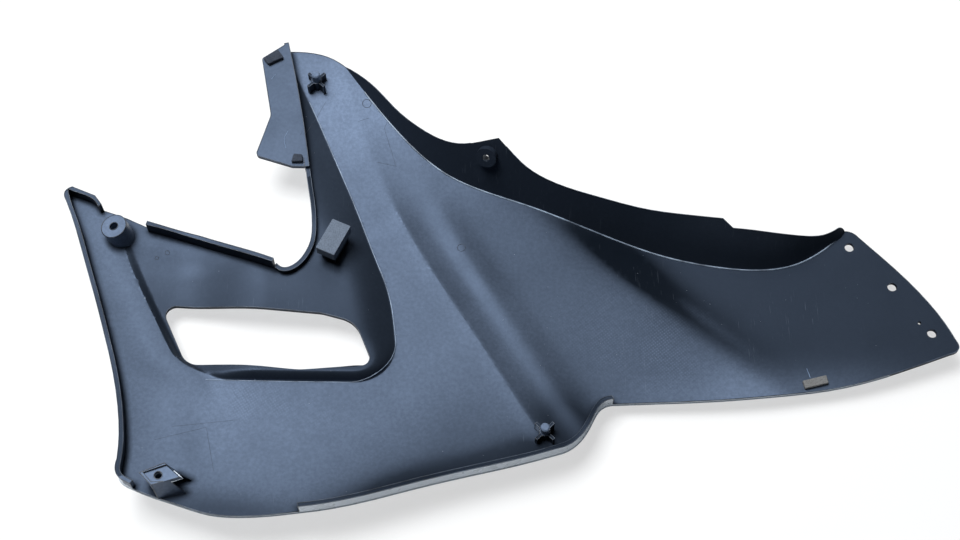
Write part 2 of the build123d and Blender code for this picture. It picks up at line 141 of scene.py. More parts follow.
# lines of the moulding in drawing millimetres: by y, the x of the character line, of the pan's border in the
# CAD and as it is seen, and of the front strip's border; then by x, the y of the shoulder wall's foot
RIDGE_X = Course(
    (-205, 76), (-160, 60), (-114, 35), (-52, 0), (11, -38), (60, -64), (130, -91), (198, -112))
PAN_X = Course(
    (-110, -52), (-45, -59), (-5, -66.5), (57, -88.5), (84, -96.5), (118, -112), (137, -118), (162, -131),
    (190, -146))
BORDER_X = Course(
    (-110, -52), (-45, -58), (-12, -64), (12, -73), (39, -83.3), (69, -95.5), (93, -106), (123, -119.3),
    (157, -136), (190, -152))
FRONT_X = Course(
    (-200, -172), (-110, -180), (-78, -190), (-71, -200), (-56, -212), (-31.5, -225), (-2, -240),
    (20, -249), (52, -257), (195, -290))
FOOT_Y = Course(
    (-112, 178), (-84, 141), (-56, 107), (-28, 81), (0, 66.5), (42, 53), (84, 37.5), (126, 20.5),
    (168, 9.5), (198, 6.5), (222, 10.5), (244, 23), (262, 38))


@dataclass(frozen=True)
class Form:
    """Height of the panel's inner face, in millimetres and in the moulding's drawing coordinates."""

    floor_level: float = 4.0
    bowl_middle: Place = (-20.0, -20.0)
    bowl_front: float = 5200.0
    bowl_tail: float = 9000.0
    bowl_across: float = 1500.0
    ridge_fall: float = 5.0
    ridge_spread: float = 18.0
    ridge_trace: float = 0.12
    ridge_fade: Place = (15.0, 75.0)
    ridge_low_trace: float = 0.45
    ridge_low_fade: Place = (-160.0, -90.0)
    swell_rise: float = 2.6
    swell_at: float = 33.0
    swell_spread: float = 12.0
    tail_drop: float = 9.5
    tail_drop_loss: float = 0.03
    tail_soft: float = 14.0
    tail_start: Place = (20.0, 80.0)
    tail_line: Place = (62.0, 42.6)
    tail_angle: float = -41.8
    pan_rise: float = 7.0
    pan_sink: float = 3.7
    front_step: float = 10.0
    front_gap: float = 0.0
    pan_trace: float = 0.8
    pan_trace_fade: Place = (-5.0, 25.0)
    pan_front: Place = (-210.0, -145.0)
    pan_corner: float = 30.0
    front_corner: float = 17.0
    pan_floor_line: float = -83.5
    pan_soft: float = 27.0
    pan_steep: float = 9.0
    pan_upper: float = 50.0
    pan_soft_from: Place = (-78.0, -38.0)
    pan_upper_from: Place = (10.0, 100.0)
    crisp: bool = False
    border: Course = PAN_X

    def step(self, t: float) -> float:
        """Share of the pan's step that is climbed, from a soft or from a crisp foot."""
        return 1 - (1 - clamp(t)) ** 2 if self.crisp else smooth_step(t)

    def into_pan(self, x: float, y: float) -> float:
        """Measures inwards from the border of the pan.

        Args:
            x: place along the panel.
            y: place across the panel.

        Returns:
            The distance in millimetres, below 0 outside the pan.
        """
        side = self.border(y) - x
        low = y - self.pan_floor_line
        if side < self.pan_corner and low < self.pan_corner:
            return self.pan_corner - math.hypot(self.pan_corner - side, self.pan_corner - low)
        front = x - FRONT_X(y) - self.front_gap
        if self.crisp and front < self.front_corner and low < self.front_corner:
            return self.front_corner - math.hypot(self.front_corner - front, self.front_corner - low)
        return min(side, low)

    def bowl(self, x: float, y: float) -> float:
        """Gives the plain bowl that the whole panel is bent to.

        Args:
            x: place along the panel.
            y: place across the panel.

        Returns:
            Its height in millimetres.
        """
        mx, my = self.bowl_middle
        reach = self.bowl_front if x < mx else self.bowl_tail
        return self.floor_level + (x - mx) ** 2 / reach + (y - my) ** 2 / self.bowl_across

    def by_tail(self, x: float, y: float) -> Place:
        """Gives a place's distance along the line where the tail drops, and past it."""
        return turned(x - self.tail_line[0], y - self.tail_line[1], self.tail_angle)

    def tail(self, x: float, y: float) -> float:
        """Gives the face behind the character line, with its soft swelling and the lower tail.

        Args:
            x: place along the panel.
            y: place across the panel.

        Returns:
            Its height in millimetres.
        """
        d = x - RIDGE_X(y)
        fade = 1 - (1 - self.ridge_trace) * smooth_step(y, *self.ridge_fade)
        fade *= self.ridge_low_trace + (1 - self.ridge_low_trace) * smooth_step(y, *self.ridge_low_fade)
        swell = self.swell_rise * bell(d, self.swell_at, self.swell_spread)
        shape = swell - self.ridge_fall * math.tanh(d / self.ridge_spread)
        along, beyond = self.by_tail(x, y)
        share = 0.5 * (1 + math.tanh(beyond / self.tail_soft))
        drop = (self.tail_drop - self.tail_drop_loss * along) * share
        return self.bowl(x, y) + fade * shape - drop * smooth_step(d, *self.tail_start)

    def pan(self, x: float, y: float) -> float:
        """Gives the vent pan over the plain bowl: above the main face, but below the front strip.

        Args:
            x: place along the panel.
            y: place across the panel.

        Returns:
            What it adds to the bowl's height, in millimetres.
        """
        width = self.pan_steep + (self.pan_soft - self.pan_steep) * smooth_step(y, *self.pan_soft_from)
        width += (self.pan_upper - self.pan_soft) * smooth_step(y, *self.pan_upper_from)
        back = smooth_step(x, *self.pan_front)
        sink = self.pan_trace + self.pan_sink * (1 - smooth_step(y, *self.pan_trace_fade))
        level = self.pan_rise * back - sink * (1 - back)
        behind = x - FRONT_X(y) - self.front_gap
        return level * self.step(self.into_pan(x, y) / width) * smooth_step(behind, 0, self.front_step)

    def height(self, x: float, y: float) -> float:
        """Height of the inner face, without the shoulder wall.

        Args:
            x: place along the panel.
            y: place across the panel.

        Returns:
            The height in millimetres.
        """
        if x > RIDGE_X(y):
            return min(self.bowl(x, y), self.tail(x, y))
        return self.bowl(x, y) + self.pan(x, y)


@dataclass(frozen=True)
class Patch:
    """Soft oval patch that adds to a field or takes from it, such as the dust with its painted sheen and
    shade, in drawing millimetres.
    """

    middle: Place
    reach: Place
    turn: float
    amount: float

    def share(self, x: float, y: float) -> float:
        """Gives how much the patch adds at a place."""
        along, across = turned(x - self.middle[0], y - self.middle[1], self.turn)
        return self.amount * mound(along, across, (0.0, 0.0), self.reach)


def total(patches: Iterable[Patch], x: float, y: float) -> float:
    """Adds up what some patches give at a place."""
    return sum(patch.share(x, y) for patch in patches)


@dataclass(frozen=True)
class DustAndSheenMap:
    """How much pale dust and painted sheen lies on each part of the inner face; low amounts stand for
    painted shade.
    """

    form: Form
    # base amounts: more on the main face as painted sheen, less on the strip, the pan and the tail as
    # painted shade
    main: float = 0.54
    strip: float = 0.26
    pan: float = 0.05
    near_ridge: float = 0.33
    middle: float = 0.27
    crest: float = -0.05
    ridge_light: float = 0.08
    strip_light: float = 0.2
    tail: float = 0.03
    wall: float = 0.04
    upper: float = 0.36
    upper_from: Place = (-112.0, 72.0)
    over_face: float = 0.5
    tail_fade: Place = (-16.0, 2.0)
    near_fade: Place = (30.0, 62.0)
    crest_at: float = 31.0
    crest_spread: float = 9.0
    ridge_light_at: float = -4.0
    ridge_light_spread: float = 7.0
    strip_light_at: float = -9.0
    strip_light_spread: float = 10.0
    strip_edge: float = 6.0
    strip_fade: Place = (-110.0, -60.0)
    strip_lap: float = 2.5
    line_fade: Place = (32.0, 98.0)
    farthest: float = 30.0
    # lighter on the front boss, the clip tower and the pin tops as painted sheen and glint; none on the peg
    # ribs
    raised: tuple[tuple[Place, float, float], ...] = (
        ((-249, 24.5), 13.0, 0.8), ((-200, -165), 26.0, 0.6), ((-118, 144.5), 3.2, 0.75),
        ((42, -122), 3.2, 0.75), ((-118, 144.5), 12.0, 0.0), ((42, -122), 12.0, 0.0), ((6, 79), 9.0, 0.05))
    # lighter patches are painted sheen, darker ones painted shade, darkest towards the bottom edge
    main_patches: tuple[Patch, ...] = (
        Patch((-160, -120), (55, 30), 0, 0.14), Patch((-172, -98), (28, 16), -8, 0.2),
        Patch((-96, 128), (36, 50), -60, 0.42), Patch((-38, -162), (60, 17), 14, -0.7),
        Patch((-165, -178), (60, 15), -4, -0.42), Patch((0, -132), (90, 40), 20, -0.3),
        Patch((-188, -125), (9, 34), 10, -0.14), Patch((-60, -30), (10, 60), 14, 0.06),
        Patch((-236, -118), (26, 46), 8, -0.26), Patch((30, -140), (32, 15), 24, -0.5))
    pan_patches: tuple[Patch, ...] = (
        Patch((-225, 18), (26, 24), 0, 0.2), Patch((-185, -8), (30, 20), 0, 0.06),
        Patch((-108, 95), (12, 50), 20, 0.05))
    dull_patches: tuple[Patch, ...] = (
        Patch((120, -3), (52, 13), -41.8, 1.15), Patch((98, 19), (30, 16), -35, 1.1),
        Patch((-36, -160), (62, 14), 14, 0.95), Patch((-70, -30), (10, 40), 8, 0.7),
        Patch((42, -136), (36, 18), 25, 0.6), Patch((40, -62), (45, 9), -58, 0.4))
    # painted sheen and shade behind the character line, with a light streak past the dark valley
    behind_patches: tuple[Patch, ...] = (
        Patch((106, 8), (42, 9), -41.8, -0.3), Patch((42, -72), (13, 36), 22, -0.03),
        Patch((190, -90), (75, 17), 3, 0.4), Patch((58, -114), (34, 24), -40, -0.4),
        Patch((148, -26), (40, 4.5), -41.8, 0.12), Patch((165, -68), (34, 14), -20, 0.12))

    def behind(self, x: float, y: float) -> float:
        """Gives the dust and painted sheen behind the character line: painted shade in the valley, then a
        tail darkened as painted shade.

        Args:
            x: place along the panel.
            y: place across the panel.

        Returns:
            The amount, before it is kept between 0 and 1.
        """
        beyond = self.form.by_tail(x, y)[1]
        middle = self.tail + (self.middle - self.tail) * (1 - smooth_step(beyond, *self.tail_fade))
        past = x - RIDGE_X(y)
        near = 1 - smooth_step(past, *self.near_fade)
        crest = self.crest * bell(past, self.crest_at, self.crest_spread)
        amount = middle + (self.near_ridge - middle) * near + crest
        return amount + total(self.behind_patches, x, y)

    def front(self, x: float, y: float) -> float:
        """Gives the dust and painted sheen on the main face and on the front strip, with painted highlights
        beside the character line and along the strip's edge.

        Args:
            x: place along the panel.
            y: place across the panel.

        Returns:
            The amount, before it is kept between 0 and 1.
        """
        amount = self.main + total(self.main_patches, x, y)
        amount += self.ridge_light * bell(x - RIDGE_X(y), self.ridge_light_at, self.ridge_light_spread)
        past = x - FRONT_X(y)
        on_strip = (1 - smooth_step(past, 0, self.strip_edge)) * smooth_step(y, *self.strip_fade)
        strip = self.strip + self.strip_light * bell(past, self.strip_light_at, self.strip_light_spread)
        return amount + (strip - amount) * on_strip

    def fields(self, x: float, y: float) -> dict[str, float]:
        """Works out what the plastic needs to know at a place of the inner face.

        Args:
            x: place along the panel.
            y: place across it.

        Returns:
            For each field its name and value: dust and painted sheen before the character line, in the pan
                and
            behind the line, the distances into the pan and past the line, and how dull the face is.
        """
        front = self.front(x, y)
        pan = self.pan + total(self.pan_patches, x, y)
        fade = 1 - smooth_step(y, *self.line_fade)
        behind = front + (self.behind(x, y) - front) * fade
        into = self.form.into_pan(x, y)
        if x < FRONT_X(y) + self.strip_lap:
            into = min(into, x - FRONT_X(y) - self.strip_lap)
        return {
            "dust_sheen_front": clamp(front), "dust_sheen_pan": clamp(pan), "dust_sheen_behind": clamp(behind),
            "into_pan": clamp(into, -self.farthest, self.farthest),
            "past_line": clamp(x - RIDGE_X(y), -self.farthest, self.farthest),
            "dull": min(1.0, total(self.dull_patches, x, y))}

    def on_raised(self, p: Vector) -> float:
        """Gives the dust and painted sheen on a face beside the soft inner face: walls, bosses, pegs, the
        tower and the flap, lighter on the boss, the tower and the pin tops.

        Args:
            p: the middle of the face in drawing millimetres.

        Returns:
            The amount from 0 to 1.
        """
        for (x, y), reach, amount in self.raised:
            if math.hypot(p.x - x, p.y - y) < reach and p.z - self.form.height(x, y) > self.over_face:
                return amount
        by_flap = p.x < self.upper_from[0] and p.y > self.upper_from[1]
        if by_flap and p.z - self.form.height(p.x, p.y) > 0:
            return self.upper
        return self.wall


@dataclass(frozen=True)
class Draught:
    """Ties the coordinates that the moulding was drawn in to the shared frame."""

    form: Form
    seen: Form
    seat: Point = (-100.2, 15.8, 22.0)

    def shift(self) -> Vector:
        """Reads from the foam block on its seat how far the drawing was moved in the frame.

        Returns:
            The move in millimetres.
        """
        low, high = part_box("foam_block")
        block = (Vector(low) + Vector(high)) / 2 / MM
        return Vector((block.x, block.y, Vector(low).z / MM)) - Vector(self.seat)

    def on_face(self, x: float, y: float, lift: float = 0.0) -> Vector:
        """Gives the place in the frame of a point of the seen inner face.

        Args:
            x: place along the panel, in drawing millimetres.
            y: place across it.
            lift: height over the face in millimetres.

        Returns:
            The place in metres.
        """
        return (Vector((x, y, self.seen.height(x, y) + lift)) + self.shift()) * MM


CRISP_FORM = replace(Form(), front_step=5.5, front_gap=1.5, pan_steep=6.0, pan_floor_line=-82.6, crisp=True,
                     border=BORDER_X)
DRAUGHT = Draught(Form(), CRISP_FORM)


# finishes

def node(tree: bpy.types.NodeTree, kind: str, **values: object) -> bpy.types.Node:
    """Adds a node and sets the named sockets or settings on it.

    Args:
        tree: the tree that gets the node.
        kind: the node's type.
        values: sockets by their name with underscores for spaces, or settings.

    Returns:
        The new node.
    """
    made = tree.nodes.new(kind)
    for key, value in values.items():
        name = key.replace("_", " ")
        if name in made.inputs:
            made.inputs[name].default_value = value
        else:
            setattr(made, key, value)
    return made


class Recipe:
    """A material under construction, with short ways to add what the finishes share."""

    def __init__(self, name: str) -> None:
        """Starts a material.

        Args:
            name: its name.
        """
        self.material = bpy.data.materials.new(name)
        self.material.use_nodes = True
        self.tree = self.material.node_tree
        self.shader = self.tree.nodes["Principled BSDF"]
        self.coords = node(self.tree, "ShaderNodeTexCoord").outputs["Object"]

    def link(self, source: Socket, target: Socket) -> None:
        """Links two sockets."""
        self.tree.links.new(source, target)

    def noise(self, scale: float, detail: float = 3.0, stretch: Point | None = None,
              turn: float = 0.0) -> Socket:
        """Adds a noise pattern.

        Args:
            scale: cells per metre.
            detail: how many finer layers it has.
            stretch: scale along each axis, if it is drawn out.
            turn: turn about the upright axis in degrees, before it is drawn out.

        Returns:
            The strength of the pattern.
        """
        made = node(self.tree, "ShaderNodeTexNoise", Scale=scale, Detail=detail, Roughness=0.6)
        source = self.coords
        if stretch:
            mapping = node(self.tree, "ShaderNodeMapping", Scale=stretch,
                           Rotation=(0, 0, math.radians(turn)))
            self.link(self.coords, mapping.inputs["Vector"])
            source = mapping.outputs["Vector"]
        self.link(source, made.inputs["Vector"])
        return made.outputs["Fac"]

    def between(self, value: Socket, low: float, high: float, start: float = 0.0,
                end: float = 1.0) -> Socket:
        """Stretches a strength so that low gives the start and high gives the end.

        Args:
            value: the strength to stretch.
            low: value that gives the start.
            high: value that gives the end.
            start: result at low.
            end: result at high.

        Returns:
            The new strength, kept between start and end.
        """
        made = node(self.tree, "ShaderNodeMapRange", From_Min=low, From_Max=high, To_Min=start, To_Max=end)
        self.link(value, made.inputs["Value"])
        return made.outputs["Result"]

    def math(self, kind: str, a: Socket | float, b: Socket | float) -> Socket:
        """Adds one sum, product or other step on two strengths.

        Args:
            kind: the operation's name.
            a: first strength.
            b: second strength.

        Returns:
            The result.
        """
        made = node(self.tree, "ShaderNodeMath", operation=kind)
        for socket, value in zip(made.inputs, (a, b)):
            if isinstance(value, (int, float)):
                socket.default_value = value
            else:
                self.link(value, socket)
        return made.outputs["Value"]

    def trait(self, name: str) -> Socket:
        """Reads an attribute of the piece's own corners."""
        return node(self.tree, "ShaderNodeAttribute", attribute_name=name).outputs["Fac"]

    def mix(self, factor: Socket | float, a: object, b: object) -> Socket:
        """Mixes two colours.

        Args:
            factor: share of the second colour.
            a: first colour, or a socket that gives it.
            b: second colour, or a socket that gives it.

        Returns:
            The mixed colour.
        """
        made = node(self.tree, "ShaderNodeMix", data_type="RGBA")
        sockets = (made.inputs[0], made.inputs[6], made.inputs[7])
        for socket, value in zip(sockets, (factor, a, b)):
            if isinstance(value, Socket):
                self.link(value, socket)
            elif isinstance(value, tuple):
                socket.default_value = (*value, 1.0)
            else:
                socket.default_value = value
        return made.outputs[2]

    def blend(self, factor: Socket, a: Socket, b: Socket) -> Socket:
        """Mixes two strengths.

        Args:
            factor: share of the second strength.
            a: first strength.
            b: second strength.

        Returns:
            The mixed strength.
        """
        made = node(self.tree, "ShaderNodeMix", data_type="FLOAT")
        for socket, value in zip((made.inputs[0], made.inputs[2], made.inputs[3]), (factor, a, b)):
            self.link(value, socket)
        return made.outputs[0]

    def bump(self, height: Socket, strength: float, depth: float,
             under: Socket | None = None) -> Socket:
        """Turns a strength into relief.

        Args:
            height: the relief.
            strength: share of it that shows.
            depth: its full height in metres.
            under: relief that this one lies on.

        Returns:
            The bent normal.
        """
        made = node(self.tree, "ShaderNodeBump", Strength=strength, Distance=depth)
        self.link(height, made.inputs["Height"])
        if under:
            self.link(under, made.inputs["Normal"])
        return made.outputs["Normal"]

    def finish(self, colour: Socket, rough: Socket, normal: Socket) -> bpy.types.Material:
        """Links the results to the shader.

        Args:
            colour: base colour.
            rough: roughness.
            normal: bent normal.

        Returns:
            The finished material.
        """
        self.link(colour, self.shader.inputs["Base Color"])
        self.link(rough, self.shader.inputs["Roughness"])
        self.link(normal, self.shader.inputs["Normal"])
        return self.material


@dataclass(frozen=True)
class BlackPlastic:
    """Moulded black plastic with a fine grain, pale dust with painted sheen and shade, faint weave marks and
    scratches.
    """

    name: str = "moulded black plastic"
    deep: Colour = (0.005, 0.0075, 0.012)
    pale: Colour = (0.009, 0.0125, 0.019)
    glint: float = 0.3
    glint_tint: Colour = (0.5, 0.67, 1.0)
    # pale bluish colour of the dust and of the painted sheen, the sky's reflection laid into the colour
    sheen_dust: Colour = (0.162, 0.213, 0.312)
    scratch: Colour = (0.16, 0.19, 0.24)
    rough: float = 0.4
    grain_scale: float = 1300.0
    weave_scale: float = 170.0

    def dust(self, recipe: Recipe) -> Socket:
        """Joins the fields of dust and painted sheen of the inner face along its crisp lines, lowers them
        near the foot of each wall as painted shade, and adds the raised faces' own.

        Args:
            recipe: the material under construction.

        Returns:
            The amount of dust and painted sheen.
        """
        in_pan = recipe.between(recipe.trait("into_pan"), -0.5, 0.9)
        past = recipe.between(recipe.trait("past_line"), -0.9, 2.6)
        front = recipe.blend(in_pan, recipe.trait("dust_sheen_front"), recipe.trait("dust_sheen_pan"))
        flat = recipe.blend(past, front, recipe.trait("dust_sheen_behind"))
        # painted shade: less of the pale colour close to the foot of each wall
        corner = recipe.between(recipe.trait("from_wall"), 0.4, 5.0, 0.12, 1.0)
        flat = recipe.math("MULTIPLY", flat, corner)
        raised = recipe.trait("raised")
        return recipe.blend(recipe.math("GREATER_THAN", raised, -0.5), flat, raised)

    def weave(self, recipe: Recipe) -> Socket:
        """Adds the fine crossed marks of the mould, where the piece's own attribute asks for them.

        Args:
            recipe: the material under construction.

        Returns:
            The strength of the marks.
        """
        parts = []
        for turn in (52.0, -35.0):
            mapping = node(recipe.tree, "ShaderNodeMapping", Rotation=(0, 0, math.radians(turn)))
            recipe.link(recipe.coords, mapping.inputs["Vector"])
            wave = node(recipe.tree, "ShaderNodeTexWave", Scale=self.weave_scale, Distortion=1.2,
                        Detail=1.0)
            wave.inputs["Detail Scale"].default_value = 2.0
            recipe.link(mapping.outputs["Vector"], wave.inputs["Vector"])
            parts.append(wave.outputs["Fac"])
        crossed = recipe.math("MULTIPLY", parts[0], parts[1])
        patchy = recipe.between(recipe.noise(24.0, 2.0), 0.4, 0.62)
        return recipe.math("MULTIPLY", crossed, recipe.math("MULTIPLY", recipe.trait("weave"), patchy))

    def scratches(self, recipe: Recipe) -> Socket:
        """Adds thin scratches in two directions, each in patches.

        Args:
            recipe: the material under construction.

        Returns:
            The strength of the scratches.
        """
        found = None
        for turn, scale in ((25.0, 5.0), (-48.0, 6.5)):
            fine = recipe.noise(scale, 2.0, (260.0, 9.0, 9.0), turn)
            lines = recipe.between(fine, 0.69, 0.73)
            patch = recipe.between(recipe.noise(11.0 + scale, 1.0), 0.52, 0.66)
            marks = recipe.math("MULTIPLY", lines, patch)
            found = recipe.math("MAXIMUM", found, marks) if found else marks
        return found

    def material(self) -> bpy.types.Material:
        """Makes the material.

        Returns:
            The new material.
        """
        recipe = Recipe(self.name)
        recipe.shader.inputs["Specular Tint"].default_value = (*self.glint_tint, 1.0)
        dull = recipe.between(recipe.trait("dull"), 0.0, 1.0, self.glint, 0.0)
        dull = recipe.math("MULTIPLY", dull, recipe.between(recipe.trait("from_wall"), 0.2, 3.0, 0.3, 1.0))
        recipe.link(dull, recipe.shader.inputs["Specular IOR Level"])
        blotch = recipe.between(recipe.noise(6.0, 6.0), 0.35, 0.68)
        base = recipe.mix(blotch, self.deep, self.pale)
        cloud = recipe.between(recipe.noise(17.0, 5.0), 0.3, 0.75, 0.8, 1.14)
        fleck = recipe.between(recipe.noise(420.0, 2.0), 0.35, 0.7, 0.86, 1.12)
        # dust and painted sheen: the pale bluish colour where the fields ask for it, darker where they stand
        # for painted shade
        sheen_dust = recipe.math("MULTIPLY", self.dust(recipe), recipe.math("MULTIPLY", cloud, fleck))
        toned_colour = recipe.mix(sheen_dust, base, self.sheen_dust)
        on_face = recipe.math("LESS_THAN", recipe.trait("raised"), 0.0)
        weave = recipe.math("MULTIPLY", self.weave(recipe), on_face)
        woven = recipe.mix(recipe.math("MULTIPLY", weave, sheen_dust), toned_colour, self.sheen_dust)
        marks = self.scratches(recipe)
        colour = recipe.mix(recipe.math("MULTIPLY", marks, 0.22), woven, self.scratch)
        uneven = recipe.between(recipe.noise(30.0, 4.0), 0.3, 0.7, self.rough - 0.04, self.rough + 0.06)
        grain = recipe.bump(recipe.noise(self.grain_scale, 2.0), 0.22, 0.0002)
        relief = recipe.bump(weave, 0.4, 0.0002, grain)
        return recipe.finish(colour, uneven, relief)


@dataclass(frozen=True)
class EdgeHighlight:
    """The same plastic with a lighter colour along edges and creases: a painted highlight."""

    name: str = "worn plastic edge"
    dark: Colour = (0.012, 0.017, 0.027)
    light: Colour = (0.075, 0.1, 0.145)

    def material(self) -> bpy.types.Material:
        """Makes the material.

        Returns:
            The new material.
        """
        recipe = Recipe(self.name)
        # painted highlight: patches of the light colour along the bead
        highlight = recipe.between(recipe.noise(55.0, 4.0), 0.36, 0.66)
        colour = recipe.mix(highlight, self.dark, self.light)
        rough = recipe.between(recipe.noise(300.0, 2.0), 0.3, 0.7, 0.3, 0.42)
        return recipe.finish(colour, rough, recipe.bump(recipe.noise(1500.0, 1.0), 0.1, 0.0001))


@dataclass(frozen=True)
class SilverPaint:
    """Silver grey paint of the outer face."""

    name: str = "silver grey paint"
    base: Colour = (0.45, 0.51, 0.58)
    light: Colour = (0.56, 0.62, 0.7)
    grime: Colour = (0.11, 0.13, 0.155)
    rough: float = 0.27

    def material(self) -> bpy.types.Material:
        """Makes the material.

        Returns:
            The new material.
        """
        recipe = Recipe(self.name)
        flake = recipe.between(recipe.noise(2600.0, 1.0), 0.3, 0.7)
        paint = recipe.mix(flake, self.base, self.light)
        dirt = recipe.between(recipe.noise(26.0, 6.0), 0.58, 0.78, 0.0, 0.35)
        colour = recipe.mix(dirt, paint, self.grime)
        rough = recipe.between(recipe.noise(40.0, 4.0), 0.3, 0.75, self.rough - 0.04, self.rough + 0.12)
        recipe.shader.inputs["Metallic"].default_value = 0.15
        recipe.shader.inputs["Coat Weight"].default_value = 0.4
        recipe.shader.inputs["Coat Roughness"].default_value = 0.12
        return recipe.finish(colour, rough, recipe.bump(recipe.noise(2600.0, 1.0), 0.04, 0.0001))


@dataclass(frozen=True)
class Foam:
    """Closed-cell foam of the pads."""

    name: str
    dark: Colour
    light: Colour

    def material(self) -> bpy.types.Material:
        """Makes the material.

        Returns:
            The new material.
        """
        recipe = Recipe(self.name)
        cells = node(recipe.tree, "ShaderNodeTexVoronoi", Scale=1100.0, Randomness=1.0)
        recipe.link(recipe.coords, cells.inputs["Vector"])
        pore = recipe.between(cells.outputs["Distance"], 0.1, 0.55)
        colour = recipe.mix(pore, self.dark, self.light)
        soiled = recipe.between(recipe.noise(120.0, 4.0), 0.5, 0.75, 0.0, 0.4)
        toned_colour = recipe.mix(soiled, colour, self.dark)
        rough = recipe.between(recipe.noise(200.0, 2.0), 0.3, 0.7, 0.82, 0.95)
        return recipe.finish(toned_colour, rough, recipe.bump(pore, 0.5, 0.0003))


@dataclass(frozen=True)
class PlainTint:
    """One plain colour with a little unevenness, for small marks."""

    name: str
    dark: Colour
    light: Colour
    rough: float = 0.6

    def material(self) -> bpy.types.Material:
        """Makes the material.

        Returns:
            The new material.
        """
        recipe = Recipe(self.name)
        colour = recipe.mix(recipe.between(recipe.noise(400.0, 3.0), 0.3, 0.7), self.dark, self.light)
        rough = recipe.between(recipe.noise(250.0, 2.0), 0.3, 0.7, self.rough - 0.05, self.rough + 0.05)
        return recipe.finish(colour, rough, recipe.bump(recipe.noise(900.0, 1.0), 0.1, 0.0001))


# geometry nodes

class NodeShop:
    """Builds one geometry node tree with named inputs and runs it on a mesh."""

    def __init__(self, name: str) -> None:
        """Starts a tree with a geometry input and output.

        Args:
            name: the tree's name.
        """
        self.tree = bpy.data.node_groups.new(name, "GeometryNodeTree")
        face = self.tree.interface
        face.new_socket("Geometry", in_out="INPUT", socket_type="NodeSocketGeometry")
        face.new_socket("Geometry", in_out="OUTPUT", socket_type="NodeSocketGeometry")
        self.sizes: dict[str, tuple[str, float]] = {}
        self.way_in = self.tree.nodes.new("NodeGroupInput")
        self.way_out = self.tree.nodes.new("NodeGroupOutput")

    def size(self, name: str, value: float, kind: str = "NodeSocketFloat") -> str:
        """Adds a named input and remembers its value.

        Args:
            name: the input's name.
            value: the size that it gets.
            kind: the socket's type.

        Returns:
            The input's name.
        """
        made = self.tree.interface.new_socket(name, in_out="INPUT", socket_type=kind)
        self.sizes[name] = (made.identifier, value)
        return name

    def add(self, kind: str, links: dict[str, object] | None = None, **values: object) -> bpy.types.Node:
        """Adds a node, sets values on it and links its inputs.

        Args:
            kind: the node's type.
            links: for each input's name, the socket or the named size that feeds it.
            values: settings and plain input values.

        Returns:
            The new node.
        """
        made = node(self.tree, kind, **values)
        for name, source in (links or {}).items():
            socket = self.way_in.outputs[source] if isinstance(source, str) else source
            self.tree.links.new(socket, made.inputs[name])
        return made

    def run(self, mesh: bpy.types.Mesh, result: Socket, material: bpy.types.Material,
            name: str) -> bpy.types.Object:
        """Ends the tree, runs it and keeps the result as a plain mesh.

        Args:
            mesh: the mesh that the tree works on.
            result: the geometry that it makes.
            material: the material that it gets.
            name: the new object's name.

        Returns:
            The plain object at the origin.
        """
        real = self.add("GeometryNodeRealizeInstances", {"Geometry": result})
        dress = self.add("GeometryNodeSetMaterial", {"Geometry": real.outputs["Geometry"]})
        dress.inputs["Material"].default_value = material
        self.tree.links.new(dress.outputs["Geometry"], self.way_out.inputs["Geometry"])
        made = bpy.data.objects.new(name, mesh)
        bpy.context.scene.collection.objects.link(made)
        work = made.modifiers.new("make", "NODES")
        work.node_group = self.tree
        for identifier, value in self.sizes.values():
            work[identifier] = value
        graph = bpy.context.evaluated_depsgraph_get()
        plain = bpy.data.meshes.new_from_object(made.evaluated_get(graph))
        made.modifiers.remove(work)
        made.data = plain
        return made


def wires(name: str, lines: Iterable[list[Vector]]) -> bpy.types.Mesh:
    """Makes a mesh of loose edges from some lines of points.

    Args:
        name: the mesh's name.
        lines: each one a list of places in metres.

    Returns:
        The new mesh.
    """
    places: list[Vector] = []
    edges: list[tuple[int, int]] = []
    for line in lines:
        start = len(places)
        places.extend(line)
        edges.extend((start + i, start + i + 1) for i in range(len(line) - 1))
    mesh = bpy.data.meshes.new(name)
    mesh.from_pydata([tuple(place) for place in places], edges, [])
    return mesh


def beads(name: str, mesh: bpy.types.Mesh, radius: float, material: bpy.types.Material,
          sides: int = 6) -> bpy.types.Object:
    """Lays a thin round bead along each line of a wire mesh.

    Args:
        name: the new object's name.
        mesh: the lines.
        radius: the bead's radius in metres.
        material: its material.
        sides: how many sides the bead has.

    Returns:
        The beads as one plain object.
    """
    shop = NodeShop(name + " tree")
    shop.size("Radius", radius)
    shop.size("Sides", sides, "NodeSocketInt")
    line = shop.add("GeometryNodeMeshToCurve", {"Mesh": "Geometry"})
    ring = shop.add("GeometryNodeCurvePrimitiveCircle", {"Radius": "Radius", "Resolution": "Sides"})
    bead = shop.add("GeometryNodeCurveToMesh", {"Curve": line.outputs["Curve"],
                                                "Profile Curve": ring.outputs["Curve"]})
    bead.inputs["Fill Caps"].default_value = True
    return shop.run(mesh, bead.outputs["Mesh"], material, name)


# pieces

def ride(piece: bpy.types.Object, nodes: Iterable[str] = ()) -> None:
    """Tells the frame what a piece rides on and hides the CAD nodes that it replaces.

    Args:
        piece: the finished piece.
        nodes: the CAD nodes that it stands for.
    """
    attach(piece, "root")
    for name in nodes:
        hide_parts(name)


